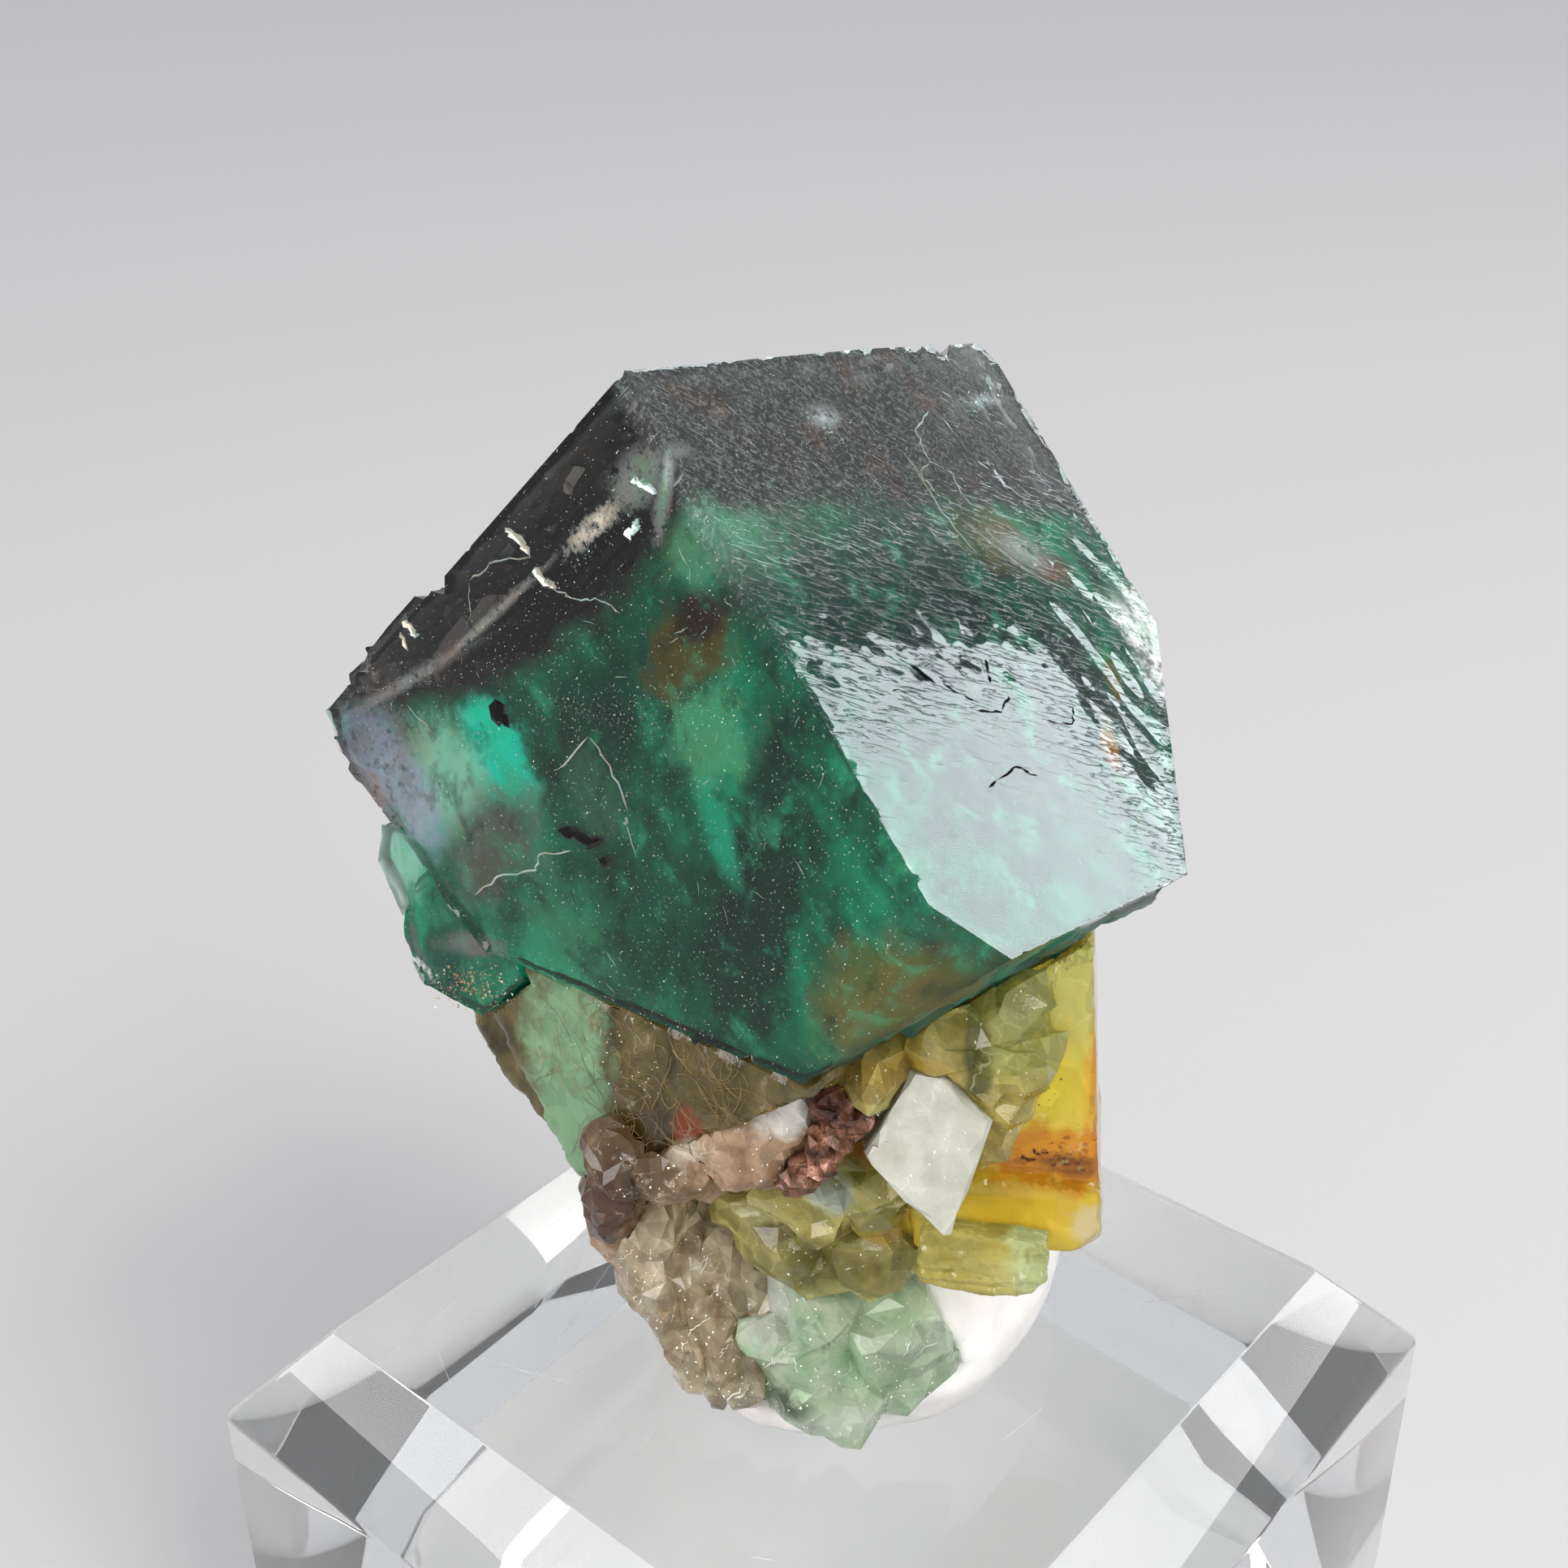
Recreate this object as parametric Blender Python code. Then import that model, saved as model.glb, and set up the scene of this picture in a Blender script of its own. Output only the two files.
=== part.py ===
"""A fluorite specimen with a little weathered pyrite, held by putty on a clear block.

World frame: metres, +Z up, X and Y along the block's sides, origin at the
centre of the block's underside. Sizes below are in millimetres.
"""

import math
import random
from dataclasses import dataclass

import bmesh
import bpy
from mathutils import Euler, Matrix, Vector

MM = 0.001
GAP = 0.35
WELD = 1e-7

# The display block: a square prism with its top edges bevelled.
BLOCK_SIDE = 31.75
BLOCK_HEIGHT = 24.6
BEVEL_WIDTH = 3.07
BEVEL_HEIGHT = 3.7

# The putty: a squashed ball with a flat foot, and dents pressed round it.
PUTTY_RADIUS = 7.6
PUTTY_DEPTH = 0.98
PUTTY_HALF_HEIGHT = 6.2
PUTTY_CENTRE = Vector((0.5, 0, BLOCK_HEIGHT + 3.2))
PUTTY_FOOT = BLOCK_HEIGHT + 0.3
PUTTY_DENTS = ((3, 0.035, 0.8), (5, 0.02, 0.0))

# The large cube: its top left corner, its turn, and its three edges there.
# Its own axes run down the left edge (q), along the top edge (p) and down
# the front edge (e). Its foot is cut off nearly level, and its lowest right
# rim is broken back to a slanting line of small chips.
CUBE_CORNER = Vector((-2.2, -6.0, 60.3))
CUBE_TURN = (-166.6, 45.9, -171.0)
CUBE_Q = 19.2
CUBE_P = 17.0
CUBE_E = 18.7
FOOT_WAY = (0.67, 0, 0.74)
FLAT_FOOT = 18.66
RIM_WAY = (0.05, 0.776, 0.631)
RIM_CUT = 20.15
RIM_CHIPS = 12
RIM_START = Vector((2.95, 17.0, 11.1))
RIM_END = Vector((2.95, 10.9, 18.4))

# The base crystals are set out in a frame turned to the specimen's front:
# right, away and up, from the block's own axis.
FRONT_TURN = 41.0

ORIGIN = Vector((0, 0, 0))
CUBE = (
    Matrix.Translation(CUBE_CORNER * MM)
    @ Euler([math.radians(a) for a in CUBE_TURN]).to_matrix().to_4x4()
    @ Matrix.Scale(MM, 4)
)
FRONT = Matrix.Rotation(math.radians(FRONT_TURN), 4, "Z") @ Matrix.Scale(MM, 4)


def placed(centre, turn=(0, 0, 0), frame=FRONT):
    """A frame at a point of another frame, turned by angles in degrees."""
    spin = Euler([math.radians(a) for a in turn]).to_matrix().to_4x4()
    return frame @ Matrix.Translation(Vector(centre)) @ spin


@dataclass
class Block:
    """A box between two corners of a frame, cut back by planes.

    A cut is (normal, reach): nothing is left past reach along the normal.
    """

    frame: Matrix
    low: tuple
    high: tuple
    cuts: tuple = ()

    def mesh(self, grow=0.0):
        low = Vector(self.low) - Vector((grow,) * 3)
        high = Vector(self.high) + Vector((grow,) * 3)
        shape = bmesh.new()
        bmesh.ops.create_cube(shape, size=1)
        size = Matrix.Diagonal((high - low)).to_4x4()
        bmesh.ops.transform(shape, matrix=Matrix.Translation((low + high) / 2) @ size, verts=shape.verts)
        for normal, reach in self.cuts:
            normal = Vector(normal)
            reach = reach / normal.length + grow
            normal.normalize()
            slice_off(shape, normal * reach, normal)
        bmesh.ops.transform(shape, matrix=self.frame, verts=shape.verts)
        return shape


@dataclass
class Lump:
    """A broken lump: the hull of points spread over an ellipsoid."""

    frame: Matrix
    radii: tuple
    seed: int
    corners: int = 16

    def mesh(self, grow=0.0):
        rng = random.Random(self.seed)
        shape = bmesh.new()
        for _ in range(self.corners):
            way = Vector([rng.gauss(0, 1) for _ in range(3)]).normalized()
            shape.verts.new([d * (r + 1.3 * grow) for d, r in zip(way, self.radii)])
        hull = bmesh.ops.convex_hull(shape, input=shape.verts)
        loose = [item for item in hull["geom_interior"] if isinstance(item, bmesh.types.BMVert)]
        bmesh.ops.delete(shape, geom=loose, context="VERTS")
        bmesh.ops.recalc_face_normals(shape, faces=shape.faces)
        bmesh.ops.transform(shape, matrix=self.frame, verts=shape.verts)
        return shape


def slice_off(shape, point, normal):
    """Cuts a closed shape at a plane, and closes the cut."""
    everything = shape.verts[:] + shape.edges[:] + shape.faces[:]
    cut = bmesh.ops.bisect_plane(shape, geom=everything, plane_co=point, plane_no=normal, clear_outer=True)
    rim = [item for item in cut["geom_cut"] if isinstance(item, bmesh.types.BMEdge)]
    if rim:
        bmesh.ops.edgeloop_fill(shape, edges=rim)
    bmesh.ops.recalc_face_normals(shape, faces=shape.faces)


def clear_scene():
    for thing in list(bpy.data.objects):
        bpy.data.objects.remove(thing, do_unlink=True)


def new_collection(name):
    collection = bpy.data.collections.new(name)
    bpy.context.scene.collection.children.link(collection)
    return collection


def stone(name, colour, roughness, clear=0.0, metallic=0.0):
    material = bpy.data.materials.new(name)
    material.use_nodes = True
    shader = material.node_tree.nodes["Principled BSDF"]
    shader.inputs["Base Color"].default_value = (*colour, 1)
    shader.inputs["Roughness"].default_value = roughness
    shader.inputs["Metallic"].default_value = metallic
    shader.inputs["Transmission Weight"].default_value = clear
    return material


def as_object(name, shape, collection):
    mesh = bpy.data.meshes.new(name)
    shape.to_mesh(mesh)
    shape.free()
    item = bpy.data.objects.new(name, mesh)
    collection.objects.link(item)
    return item


def spread(verts):
    """The width, depth and height of some points, added up."""
    return sum(max(vert.co[i] for vert in verts) - min(vert.co[i] for vert in verts) for i in range(3))


def keep_largest(mesh):
    """Deletes chips that a cut has parted from the piece."""
    shape = bmesh.new()
    shape.from_mesh(mesh)
    bmesh.ops.remove_doubles(shape, verts=shape.verts, dist=WELD)
    bmesh.ops.dissolve_degenerate(shape, dist=WELD, edges=shape.edges)
    bmesh.ops.triangulate(shape, faces=shape.faces)
    groups = []
    unseen = set(shape.verts)
    while unseen:
        group = {unseen.pop()}
        edge_of_group = list(group)
        while edge_of_group:
            here = edge_of_group.pop()
            for edge in here.link_edges:
                there = edge.other_vert(here)
                if there in unseen:
                    unseen.remove(there)
                    group.add(there)
                    edge_of_group.append(there)
        groups.append(group)
    groups.sort(key=spread, reverse=True)
    for group in groups[1:]:
        bmesh.ops.delete(shape, geom=list(group), context="VERTS")
    shape.to_mesh(mesh)
    shape.free()


def boolean(item, tool, operation, solver):
    modifier = item.modifiers.new(operation.lower(), "BOOLEAN")
    modifier.operation = operation
    modifier.solver = solver
    modifier.object = tool


def carve(name, joined, pits=(), beside=(), solver="EXACT"):
    """One solid: shapes joined, pits cut in, and room left for its neighbours."""
    body = as_object(name, joined[0].mesh(), parts)
    work = [(shape.mesh(), "UNION") for shape in joined[1:]]
    work += [(shape.mesh(), "DIFFERENCE") for shape in pits]
    work += [(shape.mesh(GAP), "DIFFERENCE") for shape in beside]
    for number, (shape, operation) in enumerate(work):
        tool = as_object(f"{name}_tool_{number}", shape, cutters)
        tool.hide_render = True
        tool.display_type = "WIRE"
        boolean(body, tool, operation, solver)
    bpy.context.view_layer.update()
    graph = bpy.context.evaluated_depsgraph_get()
    mesh = bpy.data.meshes.new_from_object(body.evaluated_get(graph))
    body.modifiers.clear()
    body.data = mesh
    keep_largest(mesh)
    for tool in [thing for thing in cutters.objects if thing.name.startswith(f"{name}_tool_")]:
        bpy.data.objects.remove(tool, do_unlink=True)
    return body


def green_shapes():
    """The cube, its left lobes, the plates on its hidden faces and its rough rim."""
    tilted_right_facet = ((-1, 0.0437, 0), 0.459)
    corner_chip = ((-0.225, -0.749, 0.624), 10.3)
    back_chamfer = ((-0.6, 1, -0.5), 16.4)
    left_chamfers = (((1, 0.12, -0.35), 18.6), ((1, -0.2, 0.25), 19.4))
    cuts = ((FOOT_WAY, FLAT_FOOT), (RIM_WAY, RIM_CUT), tilted_right_facet, corner_chip, back_chamfer)
    cube = Block(CUBE, (0, 0, 0), (CUBE_Q, CUBE_P, CUBE_E), cuts + left_chamfers)
    upper_lobe = Block(CUBE, (11.4, 0.5, -0.6), (18.1, 7.5, 3.2), (((1, 0, -1), 17.9), ((-1, 0, -1), -11.9)))
    left_lobe = Block(CUBE, (15.6, 0.9, 3.6), (21.1, 8.0, 10.6), (((1, -0.3, 0.6), 25.2), ((1, 0, -1), 16.4)))
    low_cuts = (((0.73, 0, 0.69), 21.9), ((0.66, 0, -0.75), 8.3))
    low_lobe = Block(CUBE, (16.5, 0.5, 6.4), (21.3, 7.0, 11.3), low_cuts)
    back_lobe = Block(CUBE, (13.0, 9.0, 1.5), (20.0, 15.0, 8.5), (((1, 0.4, 0.2), 26.2), ((0.5, 1, 0), 23.2)))
    plates = [
        Block(CUBE, (2.0, 15.0, 3.0), (12.5, 17.35, 9.5)),
        Block(CUBE, (5.5, 15.0, 1.2), (16.0, 17.7, 6.0)),
        Block(CUBE, (6.0, 9.5, -0.35), (15.0, 15.6, 2.0)),
        Block(CUBE, (8.5, 11.0, -0.65), (13.5, 14.8, 2.0)),
    ]
    rng = random.Random(11)
    chips = []
    for number in range(RIM_CHIPS):
        centre = RIM_START.lerp(RIM_END, (number + 0.5) / RIM_CHIPS)
        centre.x += rng.uniform(-2.05, 2.05)
        size = rng.uniform(0.5, 1.0)
        radii = (size * 0.8, size * 0.9, size * 1.1)
        chips.append(Lump(placed(centre, frame=CUBE), radii, seed=40 + number, corners=12))
    return [cube, upper_lobe, left_lobe, low_lobe, back_lobe, *plates, *chips]


def green_pits():
    """Notches in the top edge, pits on the front face and steps on the left side."""
    notch = [
        Block(placed((0, 13.0, 0.0), (35, 0, 0), CUBE), (-0.4, -0.25, -0.3), (1.0, 0.25, 0.3)),
        Block(placed((0, 14.3, 0.0), (50, 0, 0), CUBE), (-0.4, -0.35, -0.35), (0.8, 0.35, 0.35)),
    ]
    pits = [
        Block(placed((14.1, 0, 5.4), (0, 20, 0), CUBE), (-0.35, -1, -0.3), (0.35, 0.45, 0.3)),
        Block(placed((14.9, 0, 9.6), (0, -30, 0), CUBE), (-0.3, -1, -0.8), (0.3, 0.4, 0.8)),
        Block(placed((9.5, 0, 15.4), (0, 15, 0), CUBE), (-0.7, -1, -0.25), (0.7, 0.3, 0.25)),
    ]
    steps = [
        Block(placed((18.6, 3.0, 3.9), (0, 40, 10), CUBE), (-0.6, -4, -0.5), (2, 2, 0.5)),
        Block(placed((10.7, -0.5, -0.3), (0, 45, 0), CUBE), (-0.5, -1, -0.5), (0.5, 3, 0.5)),
        Block(placed((19.0, 8.6, 11.5), (20, 30, 0), CUBE), (-1.2, -1.5, -3), (2, 1.5, 2)),
        Block(placed((2.5, 17.0, 12.5), (0, 10, 0), CUBE), (-4.5, -0.5, -1.2), (3.0, 1.0, 1.2)),
    ]
    return notch + pits + steps


def olive_shapes():
    """A crystal under the cube's foot that carries on the line of its front face."""
    under_foot = ([-along for along in FOOT_WAY], -FLAT_FOOT - GAP)
    cuts = (under_foot, ((0.14, 0.12, 1), 20.0), ((1, -0.5, 0.1), 19.9))
    main = Block(CUBE, (6.6, 0.55, 7.6), (18.5, 11.0, 20.2), cuts)
    ledge = Block(CUBE, (14.5, 1.4, 12.5), (19.2, 6.5, 17.6), (((1, 0, 1), 35.6), ((1, -0.6, 0), 18.0)))
    side_cuts = (((0.91, 0, 0.41), 24.9), ((1, 0.2, -0.4), 17.4))
    side_ledge = Block(CUBE, (15.0, 2.0, 9.8), (21.4, 8.0, 16.8), side_cuts)
    return [main, ledge, side_ledge]


AMBER = placed((4.6, -3.2, 38.6), (-6, -4.5, -8))


def amber_shapes():
    """A cube with a ledge along its foot and a stepped back."""
    crystal = Block(AMBER, (-2.4, -3.5, -5.0), (3.6, 3.5, 5.3), (((-0.783, -0.25, 0.622), 2.8),))
    ledge = Block(AMBER, (-1.9, -4.0, -5.3), (3.65, 2.6, -2.9), (((1, -1, -1), 12.1), ((0.2, 0, 1), -2.6)))
    back_step = Block(AMBER, (-2.8, -2.6, -1.5), (2.2, 4.0, 2.8))
    return [crystal, ledge, back_step]


PALE = placed((2.6, -9.5, 38.9), (-25, 0, 0))


def pale_shapes():
    """A crystal that shows one four-cornered face."""
    sides = (
        ((0.71, 0, 0.70), 1.78),
        ((0.924, 0, -0.383), 1.3),
        ((-0.703, 0, -0.711), 1.28),
        ((-0.866, 0, 0.5), 1.43),
        ((0.15, -1, 0.1), 0.12),
    )
    return [Block(PALE, (-1.75, -0.2, -2.3), (1.75, 3.2, 2.15), sides)]


STRIPED = placed((4.4, -8.9, 34.4), (0, 5, -8))


def striped_shapes():
    """A rod with raised stripes along it and a bevelled end."""
    rod = Block(STRIPED, (-1.85, -0.75, -0.55), (1.75, 1.2, 0.5), (((1, 0, -1), 1.75), ((0, -1, 1), 1.05)))
    ribs = [
        Block(STRIPED, (-1.8, -0.87, -0.5 + 0.28 * row), (1.1, 0.4, -0.36 + 0.28 * row))
        for row in range(3)
    ]
    return [rod, *ribs]


def yellow_green_shapes():
    """The mass that the other crystals are grown on."""
    return [
        Lump(placed((0.2, -0.6, 35.3)), (6.6, 6.3, 6.4), 3, 26),
        Block(placed((3.7, -5.2, 40.4), (12, 22, -25)), (-2.9, -2.4, -1.9), (2.9, 2.4, 2.2)),
        Block(placed((3.0, -6.4, 41.2), (15, 30, -20)), (-2.4, -1.7, -1.3), (2.4, 1.7, 1.4)),
        Block(placed((5.0, -6.1, 42.0), (-10, 15, 35)), (-1.3, -1.3, -1.2), (1.3, 1.3, 1.2)),
        Block(placed((1.2, -6.5, 40.2), (-20, 35, 30)), (-1.6, -1.7, -1.5), (1.6, 1.7, 1.5)),
        Lump(placed((-0.6, -5.6, 33.3), (0, 12, 0)), (3.4, 2.6, 2.2), 9, 20),
        Lump(placed((1.4, -5.8, 33.2), (0, -10, 0)), (2.8, 2.4, 2.1), 15, 20),
        Block(placed((1.6, -6.6, 36.3), (30, -25, 15)), (-1.7, -1.3, -1.2), (1.7, 1.4, 1.2)),
        Block(placed((-0.6, -7.0, 35.6), (-15, 20, -35)), (-1.3, -1.1, -0.9), (1.3, 1.3, 0.9)),
        Block(placed((-1.6, 3.4, 37.2), (10, 20, 30)), (-3.6, -3.2, -3.4), (3.4, 3.2, 3.2)),
        Block(placed((3.4, 3.0, 35.4), (-15, 10, 60)), (-2.8, -2.6, -2.8), (2.8, 2.8, 2.6)),
        Lump(placed((-4.6, 0.6, 34.8)), (2.9, 3.1, 3.0), 19, 20),
    ]


def quartz_shapes():
    """Ridges that run side by side from the upper left to the lower right."""
    rows = [
        ((-6.3, -5.7, 33.9), (1.4, 1.6, 1.8), 21),
        ((-5.9, -5.4, 31.9), (1.2, 1.9, 3.2), 22),
        ((-4.9, -5.8, 30.4), (1.3, 1.9, 4.2), 23),
        ((-3.7, -5.9, 29.2), (1.3, 1.9, 3.6), 24),
        ((-3.0, -5.4, 30.4), (1.2, 1.8, 3.5), 27),
        ((-4.2, -3.8, 30.2), (2.3, 2.2, 4.4), 26),
    ]
    return [Lump(placed(centre, (-8, -16, 0)), radii, seed, 26) for centre, radii, seed in rows]


def pale_green_shapes():
    """Broken blocks that stand in front of the putty."""
    return [
        Lump(placed((-0.2, -4.9, 28.8)), (3.4, 2.7, 2.8), 31, 22),
        Block(placed((-1.7, -6.3, 28.7), (20, 25, -20)), (-1.3, -1.3, -1.9), (1.3, 1.3, 1.7)),
        Block(placed((0.0, -6.8, 28.2), (-15, 35, 10)), (-1.3, -1.2, -1.8), (1.3, 1.2, 1.8)),
        Block(placed((1.7, -6.3, 29.0), (10, -20, 25)), (-1.3, -1.3, -1.9), (1.3, 1.3, 1.9)),
        Block(placed((-0.5, -6.0, 30.4), (35, 10, 40)), (-1.5, -1.2, -1.1), (1.5, 1.2, 1.1)),
    ]


def brown_shapes():
    """Rounded lumps in a band under the cube's lowest corner and down the left."""
    rows = [
        ((-2.8, -7.6, 38.0), (1.9, 1.4, 1.7), 51),
        ((-1.5, -7.5, 39.0), (1.3, 1.2, 1.2), 52),
        ((-4.6, -7.0, 36.9), (1.9, 1.4, 1.2), 53),
        ((-6.2, -6.6, 36.8), (1.7, 1.3, 1.4), 54),
        ((-7.0, -6.0, 35.0), (1.0, 1.3, 1.8), 56),
        ((-6.8, -5.2, 33.2), (0.9, 1.3, 2.1), 57),
        ((-3.6, -5.9, 36.8), (2.6, 1.5, 1.3), 55),
    ]
    return [Lump(placed(centre), radii, seed, 26) for centre, radii, seed in rows]


PYRITE_BENDS = (
    Vector((-1.2, -8.9, 37.5)),
    Vector((-0.5, -9.1, 38.6)),
    Vector((0.2, -8.7, 39.5)),
    Vector((-0.5, -8.6, 40.3)),
)
PYRITE_CUBES_A_RUN = 3


def pyrite_shapes():
    """A chain of small cubes, each sunk into the next."""
    rng = random.Random(7)
    cubes = []
    for start, end in zip(PYRITE_BENDS, PYRITE_BENDS[1:]):
        for step in range(PYRITE_CUBES_A_RUN):
            turn = [rng.uniform(0, 90) for _ in range(3)]
            half = rng.uniform(0.34, 0.5)
            middle = start.lerp(end, step / PYRITE_CUBES_A_RUN)
            cubes.append(Block(placed(middle, turn), (-half,) * 3, (half,) * 3))
    return cubes


def acrylic_block():
    shape = bmesh.new()
    bmesh.ops.create_cube(shape, size=1)
    size = Matrix.Diagonal((BLOCK_SIDE, BLOCK_SIDE, BLOCK_HEIGHT)).to_4x4()
    raise_up = Matrix.Translation((0, 0, BLOCK_HEIGHT / 2))
    bmesh.ops.transform(shape, matrix=Matrix.Scale(MM, 4) @ raise_up @ size, verts=shape.verts)
    top = max(shape.faces, key=lambda face: face.calc_center_median().z)
    shoulder = BLOCK_HEIGHT - BEVEL_HEIGHT
    bmesh.ops.translate(shape, vec=(0, 0, (shoulder - BLOCK_HEIGHT) * MM), verts=top.verts)
    raised = bmesh.ops.extrude_face_region(shape, geom=[top])["geom"]
    corners = [item for item in raised if isinstance(item, bmesh.types.BMVert)]
    bmesh.ops.delete(shape, geom=[top], context="FACES_ONLY")
    taper = 1 - 2 * BEVEL_WIDTH / BLOCK_SIDE
    bmesh.ops.scale(shape, vec=(taper, taper, 1), verts=corners)
    bmesh.ops.translate(shape, vec=(0, 0, BEVEL_HEIGHT * MM), verts=corners)
    bmesh.ops.recalc_face_normals(shape, faces=shape.faces)
    return as_object("acrylic_block", shape, parts)


class PuttyBall:
    """A squashed ball with dents round it and a flat foot."""

    def mesh(self):
        shape = bmesh.new()
        bmesh.ops.create_uvsphere(shape, u_segments=28, v_segments=14, radius=1)
        radii = (PUTTY_RADIUS, PUTTY_RADIUS * PUTTY_DEPTH, PUTTY_HALF_HEIGHT)
        for vert in shape.verts:
            turn = math.atan2(vert.co.y, vert.co.x)
            dents = [depth * math.sin(count * turn + shift) for count, depth, shift in PUTTY_DENTS]
            vert.co = Vector([d * r * (1 + sum(dents)) for d, r in zip(vert.co, radii)])
        bmesh.ops.translate(shape, vec=PUTTY_CENTRE, verts=shape.verts)
        slice_off(shape, Vector((0, 0, PUTTY_FOOT)), Vector((0, 0, -1)))
        bmesh.ops.transform(shape, matrix=FRONT, verts=shape.verts)
        return shape


def finish(item, material):
    """Gives a piece its material, and its origin at its own middle."""
    item.data.materials.clear()
    item.data.materials.append(material)
    middle = sum((Vector(corner) for corner in item.bound_box), ORIGIN.copy()) / 8
    item.data.transform(Matrix.Translation(-middle))
    item.location = middle


clear_scene()
parts = new_collection("fluorite_specimen")
cutters = new_collection("cutters")

finish(acrylic_block(), stone("acrylic", (0.92, 0.94, 0.95), 0.03, clear=1.0))

# Each piece is carved clear of those above it in this list.
taken = green_shapes()
finish(carve("green_fluorite", taken, pits=green_pits()), stone("green_fluorite", (0.01, 0.13, 0.09), 0.08))
for name, shapes, colour, roughness, metallic in (
    ("olive_fluorite", olive_shapes(), (0.10, 0.11, 0.04), 0.25, 0),
    ("amber_fluorite", amber_shapes(), (0.75, 0.42, 0.04), 0.12, 0),
    ("pale_fluorite", pale_shapes(), (0.68, 0.70, 0.62), 0.25, 0),
    ("striped_fluorite", striped_shapes(), (0.50, 0.52, 0.12), 0.2, 0),
    ("pyrite_cluster", pyrite_shapes(), (0.13, 0.05, 0.03), 0.35, 0.6),
    ("brown_quartz", brown_shapes(), (0.36, 0.24, 0.17), 0.4, 0),
    ("quartz_mass", quartz_shapes(), (0.42, 0.37, 0.25), 0.3, 0),
    ("pale_green_fluorite", pale_green_shapes(), (0.38, 0.50, 0.40), 0.3, 0),
    ("yellow_green_fluorite", yellow_green_shapes(), (0.36, 0.38, 0.12), 0.3, 0),
):
    finish(carve(name, shapes, beside=taken), stone(name, colour, roughness, metallic=metallic))
    taken += shapes

# The exact solver loses the putty's rim among this many cutters.
putty = carve("mounting_putty", [PuttyBall()], beside=taken, solver="MANIFOLD")
finish(putty, stone("mounting_putty", (0.86, 0.85, 0.83), 0.6))
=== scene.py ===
"""The looks of a fluorite specimen on a clear block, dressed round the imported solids.

Lengths with no unit in their name are millimetres, and every mesh is in metres.
The large cube has a frame of its own: q runs down its left edge, p along its top
edge and e down its front edge. Its left front face, a, is where p is 0, and its right
one, b, where q is 0. The small crystals are set out in the front frame: right, away
and up, from the block's own axis.
"""

import math
import random

import bmesh
import bpy
import numpy as np
from mathutils import Euler, Matrix, Vector, noise
from mathutils.bvhtree import BVHTree


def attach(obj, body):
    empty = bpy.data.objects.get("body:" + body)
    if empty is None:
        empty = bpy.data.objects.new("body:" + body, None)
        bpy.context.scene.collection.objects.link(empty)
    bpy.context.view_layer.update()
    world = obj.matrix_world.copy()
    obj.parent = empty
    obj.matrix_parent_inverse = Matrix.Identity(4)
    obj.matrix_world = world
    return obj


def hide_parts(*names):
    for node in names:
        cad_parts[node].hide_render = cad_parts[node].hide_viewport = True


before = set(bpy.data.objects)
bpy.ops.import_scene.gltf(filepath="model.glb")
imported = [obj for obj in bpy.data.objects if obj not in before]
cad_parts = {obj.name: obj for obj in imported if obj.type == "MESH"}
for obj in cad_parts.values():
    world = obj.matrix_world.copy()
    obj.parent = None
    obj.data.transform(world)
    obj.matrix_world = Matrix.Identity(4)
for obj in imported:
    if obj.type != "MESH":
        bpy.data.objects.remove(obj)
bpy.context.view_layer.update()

MM = 0.001
BODY = "root"

CUBE_CORNER = Vector((-2.2, -6.0, 60.3))
CUBE_TURN = Euler([math.radians(a) for a in (-166.6, 45.9, -171.0)])
CUBE = Matrix.Translation(CUBE_CORNER) @ CUBE_TURN.to_matrix().to_4x4()
FRONT_TURN = Euler((0, 0, math.radians(41)))
FRONT = FRONT_TURN.to_matrix().to_4x4()

CAMERA_PLACE = Vector((35.393, -42.853, 75.662))
CAMERA_TURN = Euler([math.radians(a) for a in (61.892, 0.7246, 40.680)])
CAMERA_LENS = 45.955

FLUORITE_IOR = 1.434
QUARTZ_IOR = 1.46
ACRYLIC_IOR = 1.49


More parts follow.
